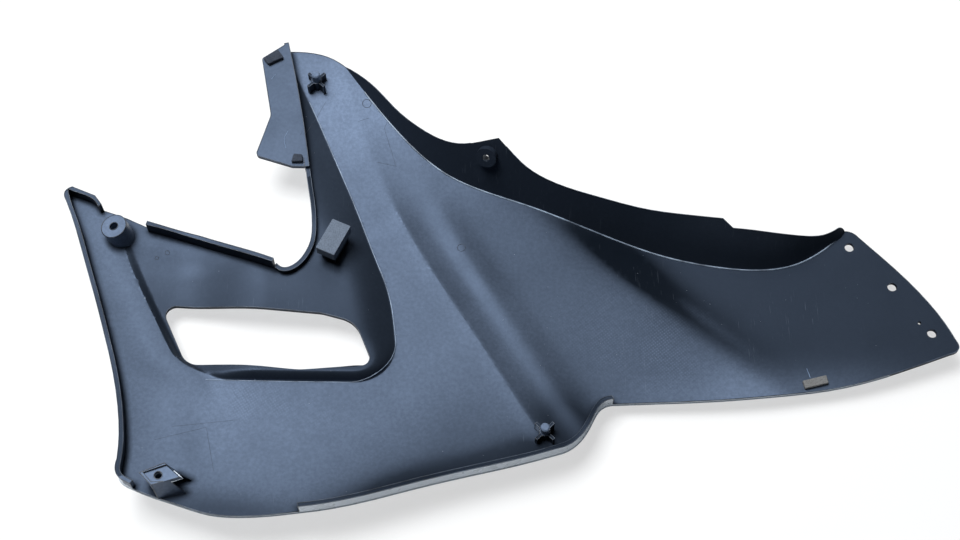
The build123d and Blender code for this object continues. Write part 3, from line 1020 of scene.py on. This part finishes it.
def merged_copy(name: str, suffix: str) -> bpy.types.Object:
    """Copies a CAD node and merges its doubled corners.

    Args:
        name: the CAD node.
        suffix: what is added to its name.

    Returns:
        The new object, at the origin.
    """
    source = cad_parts[name]
    mesh = source.data.copy()
    mesh.transform(source.matrix_world)
    work = bmesh.new()
    work.from_mesh(mesh)
    bmesh.ops.remove_doubles(work, verts=work.verts, dist=WELD)
    bmesh.ops.recalc_face_normals(work, faces=work.faces)
    work.to_mesh(mesh)
    work.free()
    mesh.materials.clear()
    made = bpy.data.objects.new(name + suffix, mesh)
    bpy.context.scene.collection.objects.link(made)
    return made


def shade_round(piece: bpy.types.Object, angle: float) -> None:
    """Shades a piece round wherever its faces meet at less than an angle.

    Args:
        piece: the piece.
        angle: the angle in degrees.
    """
    piece.data.shade_smooth()
    with bpy.context.temp_override(object=piece, active_object=piece, selected_editable_objects=[piece]):
        bpy.ops.object.shade_smooth_by_angle(angle=math.radians(angle))


@dataclass(frozen=True)
class PaintReach:
    """Where the paint of the outer face shows: below a slope, and on part of the rim."""

    slope: float = -0.25
    rim: Place = (-225.0, -78.0)

    def outer(self, slope: float) -> bool:
        """Tells whether a face with this upward share of its normal belongs to the outer face."""
        return slope < self.slope

    def on_rim(self, p: Vector) -> bool:
        """Tells whether the edge walls at a drawing place carry paint too."""
        return p.y < self.rim[1] or p.x < self.rim[0]


@dataclass
class Moulding:
    """The panel's skin: the CAD moulding with its soft inner face drawn finer and its lines made crisp."""

    draught: Draught
    smooth_angle: float = 26.0
    inner_angle: float = 55.0
    near: float = 0.5
    reach: float = 3.0
    fine: float = 2.2
    finest: float = 1.4
    coarse: float = 6.0
    line_reach: float = 16.0
    rounds: int = 7
    ridge_zone: Place = (12.0, 16.0)
    pan_zone: Place = (6.0, 6.0)
    front_zone: Place = (5.0, 3.0)
    front_from: float = -90.0
    low_band: Place = (-2.0, 9.0)
    low_band_end: float = -60.0
    flat: float = 0.5
    steepest: float = 0.15
    inner_bend: float = 40.0
    pull: float = 0.9
    probe: float = 0.5
    ridge_end: float = 66.0
    strip_clear: float = 8.0
    strip_from: float = -82.0
    paint: PaintReach = PaintReach()
    upright: float = 0.3
    level: float = 0.9
    tower: Place = (-200.0, -163.0)
    tower_reach: float = 25.0
    tower_over: float = 1.0
    pegs: tuple[Place, Place] = ((-118.0, 144.5), (42.0, -122.0))
    peg_reach: float = 13.0
    shoulder_from: float = -100.0
    shoulder_near: float = 4.0
    wall_rise: float = 0.3
    farthest: float = 12.0
    woven: tuple[tuple[Place, Place], ...] = (((-130, -95), (60, 26)), ((120, -48), (50, 34)))
    shift: Vector = field(default_factory=Vector)

    def drawing(self, place: Vector) -> Vector:
        """Turns a place in the frame into drawing millimetres."""
        return place / MM - self.shift

    def rise(self, place: Vector) -> float:
        """Height of a drawing place over the drawn inner face."""
        return place.z - self.draught.form.height(place.x, place.y)

    def edge_limit(self, x: float, y: float) -> float:
        """Gives the longest edge allowed, short beside the character line and the borders of the pan.

        Args:
            x: place along the panel.
            y: place across the panel.

        Returns:
            The length in millimetres.
        """
        gaps = [abs(x - RIDGE_X(y) - self.ridge_zone[0]) - self.ridge_zone[1],
                abs(self.draught.seen.into_pan(x, y) - self.pan_zone[0]) - self.pan_zone[1]]
        if y > self.front_from:
            gaps.append(abs(x - FRONT_X(y) - self.front_zone[0]) - self.front_zone[1])
        gap = max(0.0, min(gaps))
        low = self.draught.seen.pan_floor_line
        if low + self.low_band[0] < y < low + self.low_band[1] and x < self.low_band_end:
            return self.finest
        return self.fine + (self.coarse - self.fine) * smooth_step(gap, 0, self.line_reach)

    def mark_inner(self, work: bmesh.types.BMesh) -> bmesh.types.BMLayerItem:
        """Marks the faces of the soft inner face, found from its flat middle outwards.

        Args:
            work: the mesh.

        Returns:
            The layer that holds the mark.
        """
        layer = work.faces.layers.int.new("inner")
        off = {v: abs(self.rise(self.drawing(v.co))) for v in work.verts}
        front = []
        for face in work.faces:
            if face.normal.z > self.flat and all(off[v] < self.near for v in face.verts):
                face[layer] = 1
                front.append(face)
        while front:
            face = front.pop()
            for edge in face.edges:
                if len(edge.link_faces) != 2 or edge.calc_face_angle() > math.radians(self.inner_bend):
                    continue
                for other in edge.link_faces:
                    close = all(off[v] < self.reach for v in other.verts)
                    if not other[layer] and other.normal.z > self.steepest and close:
                        other[layer] = 1
                        front.append(other)
        return layer

    def pulled(self, x: float, y: float) -> Place:
        """Moves a place that is close to a crisp line onto that line.

        Args:
            x: place along the panel.
            y: place across the panel.

        Returns:
            The place, moved or as it was.
        """
        seen = self.draught.seen
        ridge = RIDGE_X(y) - x
        if abs(ridge) < self.pull and y < self.ridge_end:
            return x + ridge, y
        inside = seen.into_pan(x, y)
        if abs(inside) < self.pull and x > FRONT_X(y) + self.strip_clear:
            east = seen.into_pan(x + self.probe, y) - seen.into_pan(x - self.probe, y)
            north = seen.into_pan(x, y + self.probe) - seen.into_pan(x, y - self.probe)
            size = east * east + north * north
            return x - inside * east / size, y - inside * north / size
        front = FRONT_X(y) + seen.front_gap - x
        if abs(front) < self.pull and y > self.strip_from:
            return x + front, y
        return x, y

    def refine(self, mesh: bpy.types.Mesh) -> None:
        """Cuts the inner face into small triangles and lays them on the crisp form.

        Args:
            mesh: the merged copy, changed in place.
        """
        work = bmesh.new()
        work.from_mesh(mesh)
        layer = self.mark_inner(work)
        for _ in range(self.rounds):
            edges = []
            for edge in work.edges:
                if any(face[layer] for face in edge.link_faces):
                    p = self.drawing((edge.verts[0].co + edge.verts[1].co) / 2)
                    if edge.calc_length() / MM > self.edge_limit(p.x, p.y):
                        edges.append(edge)
            if not edges:
                break
            bmesh.ops.subdivide_edges(work, edges=edges, cuts=1)
            bmesh.ops.triangulate(work, faces=[f for f in work.faces if len(f.verts) > 3])
        inner = [f for f in work.faces if f[layer]]
        # in the mesh's own order, because a set's order differs from run to run and would move the specks
        within = [e for e in work.edges if len(e.link_faces) == 2 and all(f[layer] for f in e.link_faces)]
        bmesh.ops.beautify_fill(work, faces=inner, edges=within)
        for vertex in work.verts:
            if not any(face[layer] for face in vertex.link_faces):
                continue
            p = self.drawing(vertex.co)
            x, y = p.x, p.y
            if all(face[layer] for face in vertex.link_faces):
                x, y = self.pulled(x, y)
            vertex.co = (Vector((x, y, self.draught.seen.height(x, y))) + self.shift) * MM
        bmesh.ops.recalc_face_normals(work, faces=work.faces)
        for face in work.faces:
            face.smooth = True
        for edge in work.edges:
            soft = all(face[layer] for face in edge.link_faces)
            limit = self.inner_angle if soft else self.smooth_angle
            edge.smooth = len(edge.link_faces) == 2 and math.degrees(edge.calc_face_angle()) < limit
        work.to_mesh(mesh)
        work.free()

    def on_tower(self, p: Vector) -> bool:
        """Tells whether a drawing place is on the clip tower, over the inner face."""
        near = math.hypot(p.x - self.tower[0], p.y - self.tower[1]) < self.tower_reach
        return near and self.rise(p) > self.tower_over

    def painted(self, mesh: bpy.types.Mesh) -> set[int]:
        """Finds the faces that carry paint: the outer face and the edge walls that rise from it.

        Args:
            mesh: the skin.

        Returns:
            The numbers of the painted faces.
        """
        work = bmesh.new()
        work.from_mesh(mesh)
        work.faces.ensure_lookup_table()
        found = set()
        for face in work.faces:
            p = self.drawing(face.calc_center_median())
            if self.paint.outer(face.normal.z) and not self.on_tower(p):
                found.add(face.index)
        front = [work.faces[i] for i in found]
        while front:
            face = front.pop()
            outer = self.paint.outer(face.normal.z)
            for edge in face.edges:
                for other in edge.link_faces:
                    p = self.drawing(other.calc_center_median())
                    upright = abs(other.normal.z) < self.upright and self.paint.on_rim(p)
                    upright = upright and not self.on_tower(p)
                    level = face.normal.dot(other.normal) > self.level
                    if other.index not in found and upright and (outer or level):
                        found.add(other.index)
                        front.append(other)
        work.free()
        return found

    def from_walls(self, mesh: bpy.types.Mesh, inner: list[bool]) -> list[float]:
        """Measures how far each corner of the mesh is from the foot of a wall.

        Args:
            mesh: the skin.
            inner: for each face, whether it belongs to the soft inner face.

        Returns:
            The distances in millimetres, up to the farthest that counts.
        """
        on_inner = {i for face in mesh.polygons if inner[face.index] for i in face.vertices}
        feet = set()
        for face in mesh.polygons:
            if inner[face.index]:
                continue
            for i in face.vertices:
                place = mesh.vertices[i].co
                p = self.drawing(place)
                by_shoulder = p.x > self.shoulder_from and p.y > FOOT_Y(p.x) - self.shoulder_near
                by_peg = any(math.hypot(p.x - x, p.y - y) < self.peg_reach for x, y in self.pegs)
                above = face.center.z > place.z + self.wall_rise * MM
                if i in on_inner and above and not by_shoulder and not by_peg:
                    feet.add(i)
        tree = KDTree(len(feet))
        for i in feet:
            tree.insert(mesh.vertices[i].co, i)
        tree.balance()
        return [min(self.farthest, tree.find(vertex.co)[2] / MM) for vertex in mesh.vertices]

    def traits(self, mesh: bpy.types.Mesh) -> None:
        """Writes the fields of dust and painted sheen at each corner, and those of the raised faces.

        Args:
            mesh: the skin, which gets the attributes.
        """
        dust = DustAndSheenMap(self.draught.seen)
        inner = [bool(mark.value) for mark in mesh.attributes["inner"].data]
        places = [self.drawing(vertex.co) for vertex in mesh.vertices]
        rows = [dust.fields(p.x, p.y) for p in places]
        fields = {name: [row[name] for row in rows] for name in rows[0]}
        # distance from the feet of the walls, which sets the painted shade in the corners
        fields["from_wall"] = self.from_walls(mesh, inner)
        fields["weave"] = [min(1.0, sum(mound(p.x, p.y, *area) for area in self.woven)) for p in places]
        for name, values in fields.items():
            mesh.attributes.new(name, "FLOAT", "POINT").data.foreach_set("value", values)
        raised = [-1.0 if inner[face.index] else dust.on_raised(self.drawing(face.center))
                  for face in mesh.polygons]
        mesh.attributes.new("raised", "FLOAT", "FACE").data.foreach_set("value", raised)

    def build(self) -> bpy.types.Object:
        """Makes the visible moulding in place of the CAD node.

        Returns:
            The skin.
        """
        self.shift = self.draught.shift()
        skin = merged_copy("fairing_panel", "_skin")
        self.refine(skin.data)
        self.traits(skin.data)
        skin.data.materials.append(BlackPlastic().material())
        skin.data.materials.append(SilverPaint().material())
        painted = self.painted(skin.data)
        for face in skin.data.polygons:
            face.material_index = Side.PAINTED.value if face.index in painted else Side.INNER.value
        ride(skin, ["fairing_panel"])
        LOG.info("the skin has %d triangles", len(skin.data.polygons))
        return skin


@dataclass
class EdgeLines:
    """The painted highlight lines along the moulding's sharp edges, and the lines in silver paint along its
    rim.
    """

    draught: Draught
    sharp: float = 50.0
    radius: float = 0.3 * MM
    painted_radius: float = 0.55 * MM
    paint: PaintReach = PaintReach()
    quiet: tuple[tuple[Place, float], ...] = (
        ((6, 79), 13.0), ((258.5, 21.5), 6.0), ((284, -10.5), 6.0), ((305.5, -47.5), 6.0),
        ((298.5, -39), 4.0))

    def sort(self) -> tuple[list[list[Vector]], list[list[Vector]]]:
        """Finds the convex sharp edges of the CAD moulding.

        Returns:
            The plain ones and the ones that border the painted outer face.
        """
        source = merged_copy("fairing_panel", "_edges")
        shift = self.draught.shift()
        work = bmesh.new()
        work.from_mesh(source.data)
        plain: list[list[Vector]] = []
        painted: list[list[Vector]] = []
        for edge in work.edges:
            if len(edge.link_faces) != 2 or not edge.is_convex:
                continue
            if math.degrees(edge.calc_face_angle()) < self.sharp:
                continue
            p = (edge.verts[0].co + edge.verts[1].co) / 2 / MM - shift
            if any(math.hypot(p.x - x, p.y - y) < reach for (x, y), reach in self.quiet):
                continue
            rim = any(self.paint.outer(face.normal.z) for face in edge.link_faces) and self.paint.on_rim(p)
            line = [vertex.co.copy() for vertex in edge.verts]
            (painted if rim else plain).append(line)
        work.free()
        bpy.data.objects.remove(source)
        return plain, painted

    def build(self) -> list[bpy.types.Object]:
        """Lays the beads.

        Returns:
            The plain lines and the painted ones.
        """
        plain, painted = self.sort()
        # painted highlights along the sharp convex edges
        dark = beads("highlight_edges", joined_wires("worn edges", plain), self.radius, EdgeHighlight().material())
        rim = beads("painted_rim", joined_wires("painted rim", painted), self.painted_radius,
                    SilverPaint(name="silver rim").material())
        for piece in (dark, rim):
            piece.data.shade_smooth()
            ride(piece)
        return [dark, rim]


def joined_wires(name: str, lines: list[list[Vector]]) -> bpy.types.Mesh:
    """Makes one wire mesh of short edges and merges the ends that meet.

    Args:
        name: the mesh's name.
        lines: the edges, each one a list of its two ends.

    Returns:
        The new mesh.
    """
    mesh = wires(name, lines)
    work = bmesh.new()
    work.from_mesh(mesh)
    bmesh.ops.remove_doubles(work, verts=work.verts, dist=WELD)
    work.to_mesh(mesh)
    work.free()
    return mesh


@dataclass
class FaceLines:
    """Thin lines and marks on the inner side of the moulding.

    They are the painted highlights along the crease under the shoulder wall and along the pan's border,
    scribed lines, scratches, ejector rings and specks.
    """

    draught: Draught
    skin: bpy.types.Object
    crease_radius: float = 0.6 * MM
    border_radius: float = 0.34 * MM
    scribe_radius: float = 0.1 * MM
    scratch_radius: float = 0.21 * MM
    speck_radius: float = 0.28 * MM
    speck_count: int = 130
    speck_area: float = 0.1
    speck_sizes: Place = (0.35, 1.0)
    speck_slope: float = 0.8
    seed: int = 11
    crease_run: range = range(-84, 255, 3)
    crease_beside: float = 0.3
    crease_lift: float = 0.1
    border_run: range = range(132, -56, -4)
    border_beside: float = 0.2
    border_lift: float = 0.02
    corner_from: float = -53.0
    corner_turn: range = range(-5, -90, -10)
    floor_gap: int = 3
    floor_end: int = -183
    floor_step: int = -4
    ring_turn: range = range(0, 361, 30)
    drop_from: float = 200.0
    scribes: tuple[tuple[Place, ...], ...] = (
        ((-66, 121), (-69, 113), (-60, 84), (-74, 87)), ((-88, 118), (-80, 121)),
        ((-210, -128), (-178, -118), (-170, -150)), ((-200, -118), (-158, -112)),
        ((-128, 100), (-112, 132)))
    scratches: tuple[tuple[Place, ...], ...] = (
        ((-136.5, 103.5), (-138.5, 99), (-138.6, 94), (-137.5, 90)), ((221, -78), (219.5, -71)),
        ((-150, 142), (-147, 146)))
    rings: tuple[tuple[float, float, float], ...] = (
        (-217, 14, 1.5), (-224, 10, 1.2), (-82, 132, 3.2), (-13, 22, 2.8))

    def __post_init__(self) -> None:
        """Prepares the search for the highest face under a point."""
        work = bmesh.new()
        work.from_mesh(self.skin.data)
        self.tree = BVHTree.FromBMesh(work)
        work.free()
        self.shift = self.draught.shift()

    def on_top(self, x: float, y: float, lift: float = 0.0) -> Vector:
        """Drops a point onto the moulding.

        Args:
            x: place along the panel, in drawing millimetres.
            y: place across it.
            lift: height over the face in millimetres.

        Returns:
            The place in metres.
        """
        start = (Vector((x, y, self.drop_from)) + self.shift) * MM
        place = self.tree.ray_cast(start, Vector((0, 0, -1)))[0]
        return place + Vector((0, 0, lift * MM)) if place else self.draught.on_face(x, y, lift)

    def follow(self, corners: Iterable[Place], steps: int = 10) -> list[Vector]:
        """Follows the face from corner to corner.

        Args:
            corners: places in drawing millimetres.
            steps: how many short steps each stretch has.

        Returns:
            Places on the face in metres.
        """
        corners = list(corners)
        line = []
        for (ax, ay), (bx, by) in zip(corners, corners[1:]):
            for i in range(steps):
                line.append(self.on_top(ax + (bx - ax) * i / steps, ay + (by - ay) * i / steps))
        return line + [self.on_top(*corners[-1])]

    def crease(self) -> list[Vector]:
        """Line along the foot of the shoulder wall."""
        return [self.draught.on_face(x, FOOT_Y(x) - self.crease_beside, self.crease_lift)
                for x in self.crease_run]

    def border(self) -> list[Vector]:
        """Follows the border of the pan, from the flap down and round to the front strip.

        Returns:
            Places on the face in metres.
        """
        seen = self.draught.seen
        line = [Vector((seen.border(y) + self.border_beside, y)) for y in self.border_run]
        floor = seen.pan_floor_line
        middle = Vector((seen.border(self.corner_from) - seen.pan_corner, floor + seen.pan_corner))
        for angle in self.corner_turn:
            t = math.radians(angle)
            line.append(middle + Vector((math.cos(t), math.sin(t))) * (seen.pan_corner + self.border_beside))
        for x in range(int(middle.x) - self.floor_gap, self.floor_end, self.floor_step):
            line.append(Vector((x, floor - self.border_beside)))
        return [self.draught.on_face(p.x, p.y, self.border_lift) for p in line]

    def specks(self, material: bpy.types.Material) -> bpy.types.Object:
        """Scatters small grains of dirt over the face with a fixed seed.

        Args:
            material: their finish.

        Returns:
            The grains as one plain object.
        """
        inner = [tuple(face.vertices) for face in self.skin.data.polygons
                 if face.normal.z > self.speck_slope and face.material_index == Side.INNER.value]
        mesh = bpy.data.meshes.new("speck ground")
        mesh.from_pydata([tuple(vertex.co) for vertex in self.skin.data.vertices], [], inner)
        shop = NodeShop("specks tree")
        shop.size("Radius", self.speck_radius)
        shop.size("Seed", self.seed, "NodeSocketInt")
        shop.size("Density", self.speck_count / self.speck_area)
        scatter = shop.add("GeometryNodeDistributePointsOnFaces", {
            "Mesh": "Geometry", "Density": "Density", "Seed": "Seed"})
        grain = shop.add("GeometryNodeMeshIcoSphere", {"Radius": "Radius"}, Subdivisions=1)
        scale = shop.add("FunctionNodeRandomValue", {"Seed": "Seed"})
        scale.inputs[2].default_value = self.speck_sizes[0]
        scale.inputs[3].default_value = self.speck_sizes[1]
        spread = shop.add("GeometryNodeInstanceOnPoints", {
            "Points": scatter.outputs["Points"], "Instance": grain.outputs["Mesh"],
            "Scale": scale.outputs[1]})
        return shop.run(mesh, spread.outputs["Instances"], material, "specks")

    def build(self) -> list[bpy.types.Object]:
        """Lays the lines and marks.

        Returns:
            The crease, the pan's border, the scribed lines, the rings, the scratches and the specks.
        """
        # painted highlights: a bright line at the foot of the shoulder wall and a softer one along the pan's
        # border
        bright = EdgeHighlight("bright crease", (0.07, 0.09, 0.125), (0.36, 0.45, 0.58)).material()
        soft = EdgeHighlight("soft border", (0.11, 0.145, 0.205), (0.3, 0.385, 0.52)).material()
        tint = PlainTint("scribed line", (0.03, 0.04, 0.06), (0.05, 0.066, 0.095)).material()
        pale = PlainTint("pale scratch", (0.14, 0.21, 0.34), (0.24, 0.34, 0.5)).material()
        dirt = PlainTint("dirt", (0.08, 0.1, 0.13), (0.3, 0.34, 0.4), 0.8).material()
        circles = []
        for x, y, r in self.rings:
            turns = [math.radians(angle) for angle in self.ring_turn]
            circles.append(self.follow([(x + r * math.cos(a), y + r * math.sin(a)) for a in turns], 2))
        made = [
            beads("shoulder_crease", wires("shoulder crease", [self.crease()]), self.crease_radius, bright),
            beads("pan_border", wires("pan border", [self.border()]), self.border_radius, soft),
            beads("scribed_lines", wires("scribed lines", [self.follow(c) for c in self.scribes]),
                  self.scribe_radius, tint, 4),
            beads("ejector_rings", wires("ejector rings", circles), self.scratch_radius, tint, 4),
            beads("scratches", wires("scratches", [self.follow(c) for c in self.scratches]),
                  self.scratch_radius, pale, 4),
            self.specks(dirt)]
        for piece in made:
            piece.data.shade_smooth()
            ride(piece)
        return made


@dataclass
class FoamPads:
    """The glued foam pieces."""

    dark_pads: tuple[str, ...] = ("flap_top_pad", "flap_lower_pad")
    grey_pads: tuple[str, ...] = ("edge_pad",)
    blocks: tuple[str, ...] = ("foam_block",)
    soft_edge: float = 0.5 * MM
    smooth_angle: float = 40.0

    def dress(self, names: tuple[str, ...], foam: Foam) -> list[bpy.types.Object]:
        """Makes some pads in one kind of foam.

        Args:
            names: their CAD nodes.
            foam: the finish.

        Returns:
            The visible pads.
        """
        material = foam.material()
        made = []
        for name in names:
            pad = merged_copy(name, "_foam")
            pad.data.materials.append(material)
            soften = pad.modifiers.new("soften", "BEVEL")
            soften.width = self.soft_edge
            soften.segments = 2
            shade_round(pad, self.smooth_angle)
            ride(pad, [name])
            made.append(pad)
        return made

    def build(self) -> list[bpy.types.Object]:
        """Makes every pad in place of its CAD node.

        Returns:
            The visible pads.
        """
        made = self.dress(self.dark_pads, Foam("dark foam", (0.016, 0.022, 0.036), (0.034, 0.044, 0.066)))
        made += self.dress(self.grey_pads, Foam("grey foam", (0.1, 0.1, 0.1), (0.17, 0.17, 0.17)))
        made += self.dress(self.blocks, Foam("block foam", (0.085, 0.108, 0.145), (0.135, 0.168, 0.225)))
        return made


@dataclass
class Studio:
    """Floor, lamps, background and camera."""

    elevation: float = 62.0
    distance: float = 1.05
    pixels_across: float = 960.0
    focal_pixels: float = 1522.0
    focus: Point = (-0.0166, 0.00625, 0.0178)
    floor_glow: float = 0.6
    floor_size: float = 12.0
    floor_drop: float = 0.5 * MM
    lamp_size: float = 1.4
    lamp_colour: Colour = (0.97, 0.99, 1.0)
    lamps: tuple[tuple[Point, float], ...] = (((-0.88, 0.59, 2.7), 105.0), ((-0.3, 1.6, 2.2), 12.0))
    sky: Colour = (0.86, 0.93, 1.0)
    sky_strength: float = 0.06
    seen_strength: float = 1.0

    def floor(self) -> None:
        """Lays the pale floor."""
        bpy.ops.mesh.primitive_plane_add(size=self.floor_size, location=(0, 0, -self.floor_drop))
        ground = bpy.context.object
        material = bpy.data.materials.new("pale floor")
        material.use_nodes = True
        shader = material.node_tree.nodes["Principled BSDF"]
        shader.inputs["Base Color"].default_value = (0.9, 0.9, 0.9, 1)
        shader.inputs["Roughness"].default_value = 0.9
        tree = material.node_tree
        path = node(tree, "ShaderNodeLightPath")
        share = node(tree, "ShaderNodeMath", operation="MULTIPLY")
        share.inputs[1].default_value = self.floor_glow
        glow = node(tree, "ShaderNodeEmission", Color=(1, 1, 1, 1), Strength=1.0)
        choice = node(tree, "ShaderNodeMixShader")
        tree.links.new(path.outputs["Is Camera Ray"], share.inputs[0])
        tree.links.new(share.outputs[0], choice.inputs[0])
        tree.links.new(shader.outputs[0], choice.inputs[1])
        tree.links.new(glow.outputs[0], choice.inputs[2])
        tree.links.new(choice.outputs[0], tree.nodes["Material Output"].inputs["Surface"])
        ground.data.materials.append(material)

    def lamp(self, place: Point, power: float) -> None:
        """Hangs one soft square lamp that looks at the panel.

        Args:
            place: where it hangs, in metres.
            power: its power in watts.
        """
        data = bpy.data.lights.new("lamp", "AREA")
        data.size = self.lamp_size
        data.energy = power
        data.color = self.lamp_colour
        made = bpy.data.objects.new("lamp", data)
        bpy.context.scene.collection.objects.link(made)
        made.location = place
        made.rotation_euler = (Vector(self.focus) - Vector(place)).to_track_quat("-Z", "Y").to_euler()

    def camera(self) -> None:
        """Places the camera as in the photo."""
        data = bpy.data.cameras.new("camera")
        data.sensor_width = 36.0
        data.lens = data.sensor_width * self.focal_pixels / self.pixels_across
        made = bpy.data.objects.new("camera", data)
        bpy.context.scene.collection.objects.link(made)
        lift = math.radians(self.elevation)
        away = Vector((0, -math.cos(lift), math.sin(lift))) * self.distance
        made.location = Vector(self.focus) + away
        made.rotation_euler = (-away).to_track_quat("-Z", "Y").to_euler()
        bpy.context.scene.camera = made

    def background(self) -> None:
        """Sets the world: soft light for the panel, white for the camera."""
        world = bpy.data.worlds.new("studio")
        bpy.context.scene.world = world
        world.use_nodes = True
        tree = world.node_tree
        soft = tree.nodes["Background"]
        soft.inputs["Color"].default_value = (*self.sky, 1)
        soft.inputs["Strength"].default_value = self.sky_strength
        white = node(tree, "ShaderNodeBackground", Color=(1, 1, 1, 1), Strength=self.seen_strength)
        path = node(tree, "ShaderNodeLightPath")
        choice = node(tree, "ShaderNodeMixShader")
        tree.links.new(path.outputs["Is Camera Ray"], choice.inputs[0])
        tree.links.new(soft.outputs[0], choice.inputs[1])
        tree.links.new(white.outputs[0], choice.inputs[2])
        tree.links.new(choice.outputs[0], tree.nodes["World Output"].inputs["Surface"])

    def build(self) -> None:
        """Sets up everything round the panel."""
        self.floor()
        for place, power in self.lamps:
            self.lamp(place, power)
        self.camera()
        self.background()
        bpy.context.scene.view_settings.view_transform = "Standard"


def main() -> None:
    """Builds the panel and its surroundings."""
    logging.basicConfig(level=logging.INFO)
    skin = Moulding(DRAUGHT).build()
    LOG.info("moulding %s", skin.name)
    LOG.info("edge lines %s", [piece.name for piece in EdgeLines(DRAUGHT).build()])
    LOG.info("face lines %s", [piece.name for piece in FaceLines(DRAUGHT, skin).build()])
    LOG.info("pads %s", [pad.name for pad in FoamPads().build()])
    Studio().build()
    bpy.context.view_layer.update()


if __name__ == "__main__":
    main()
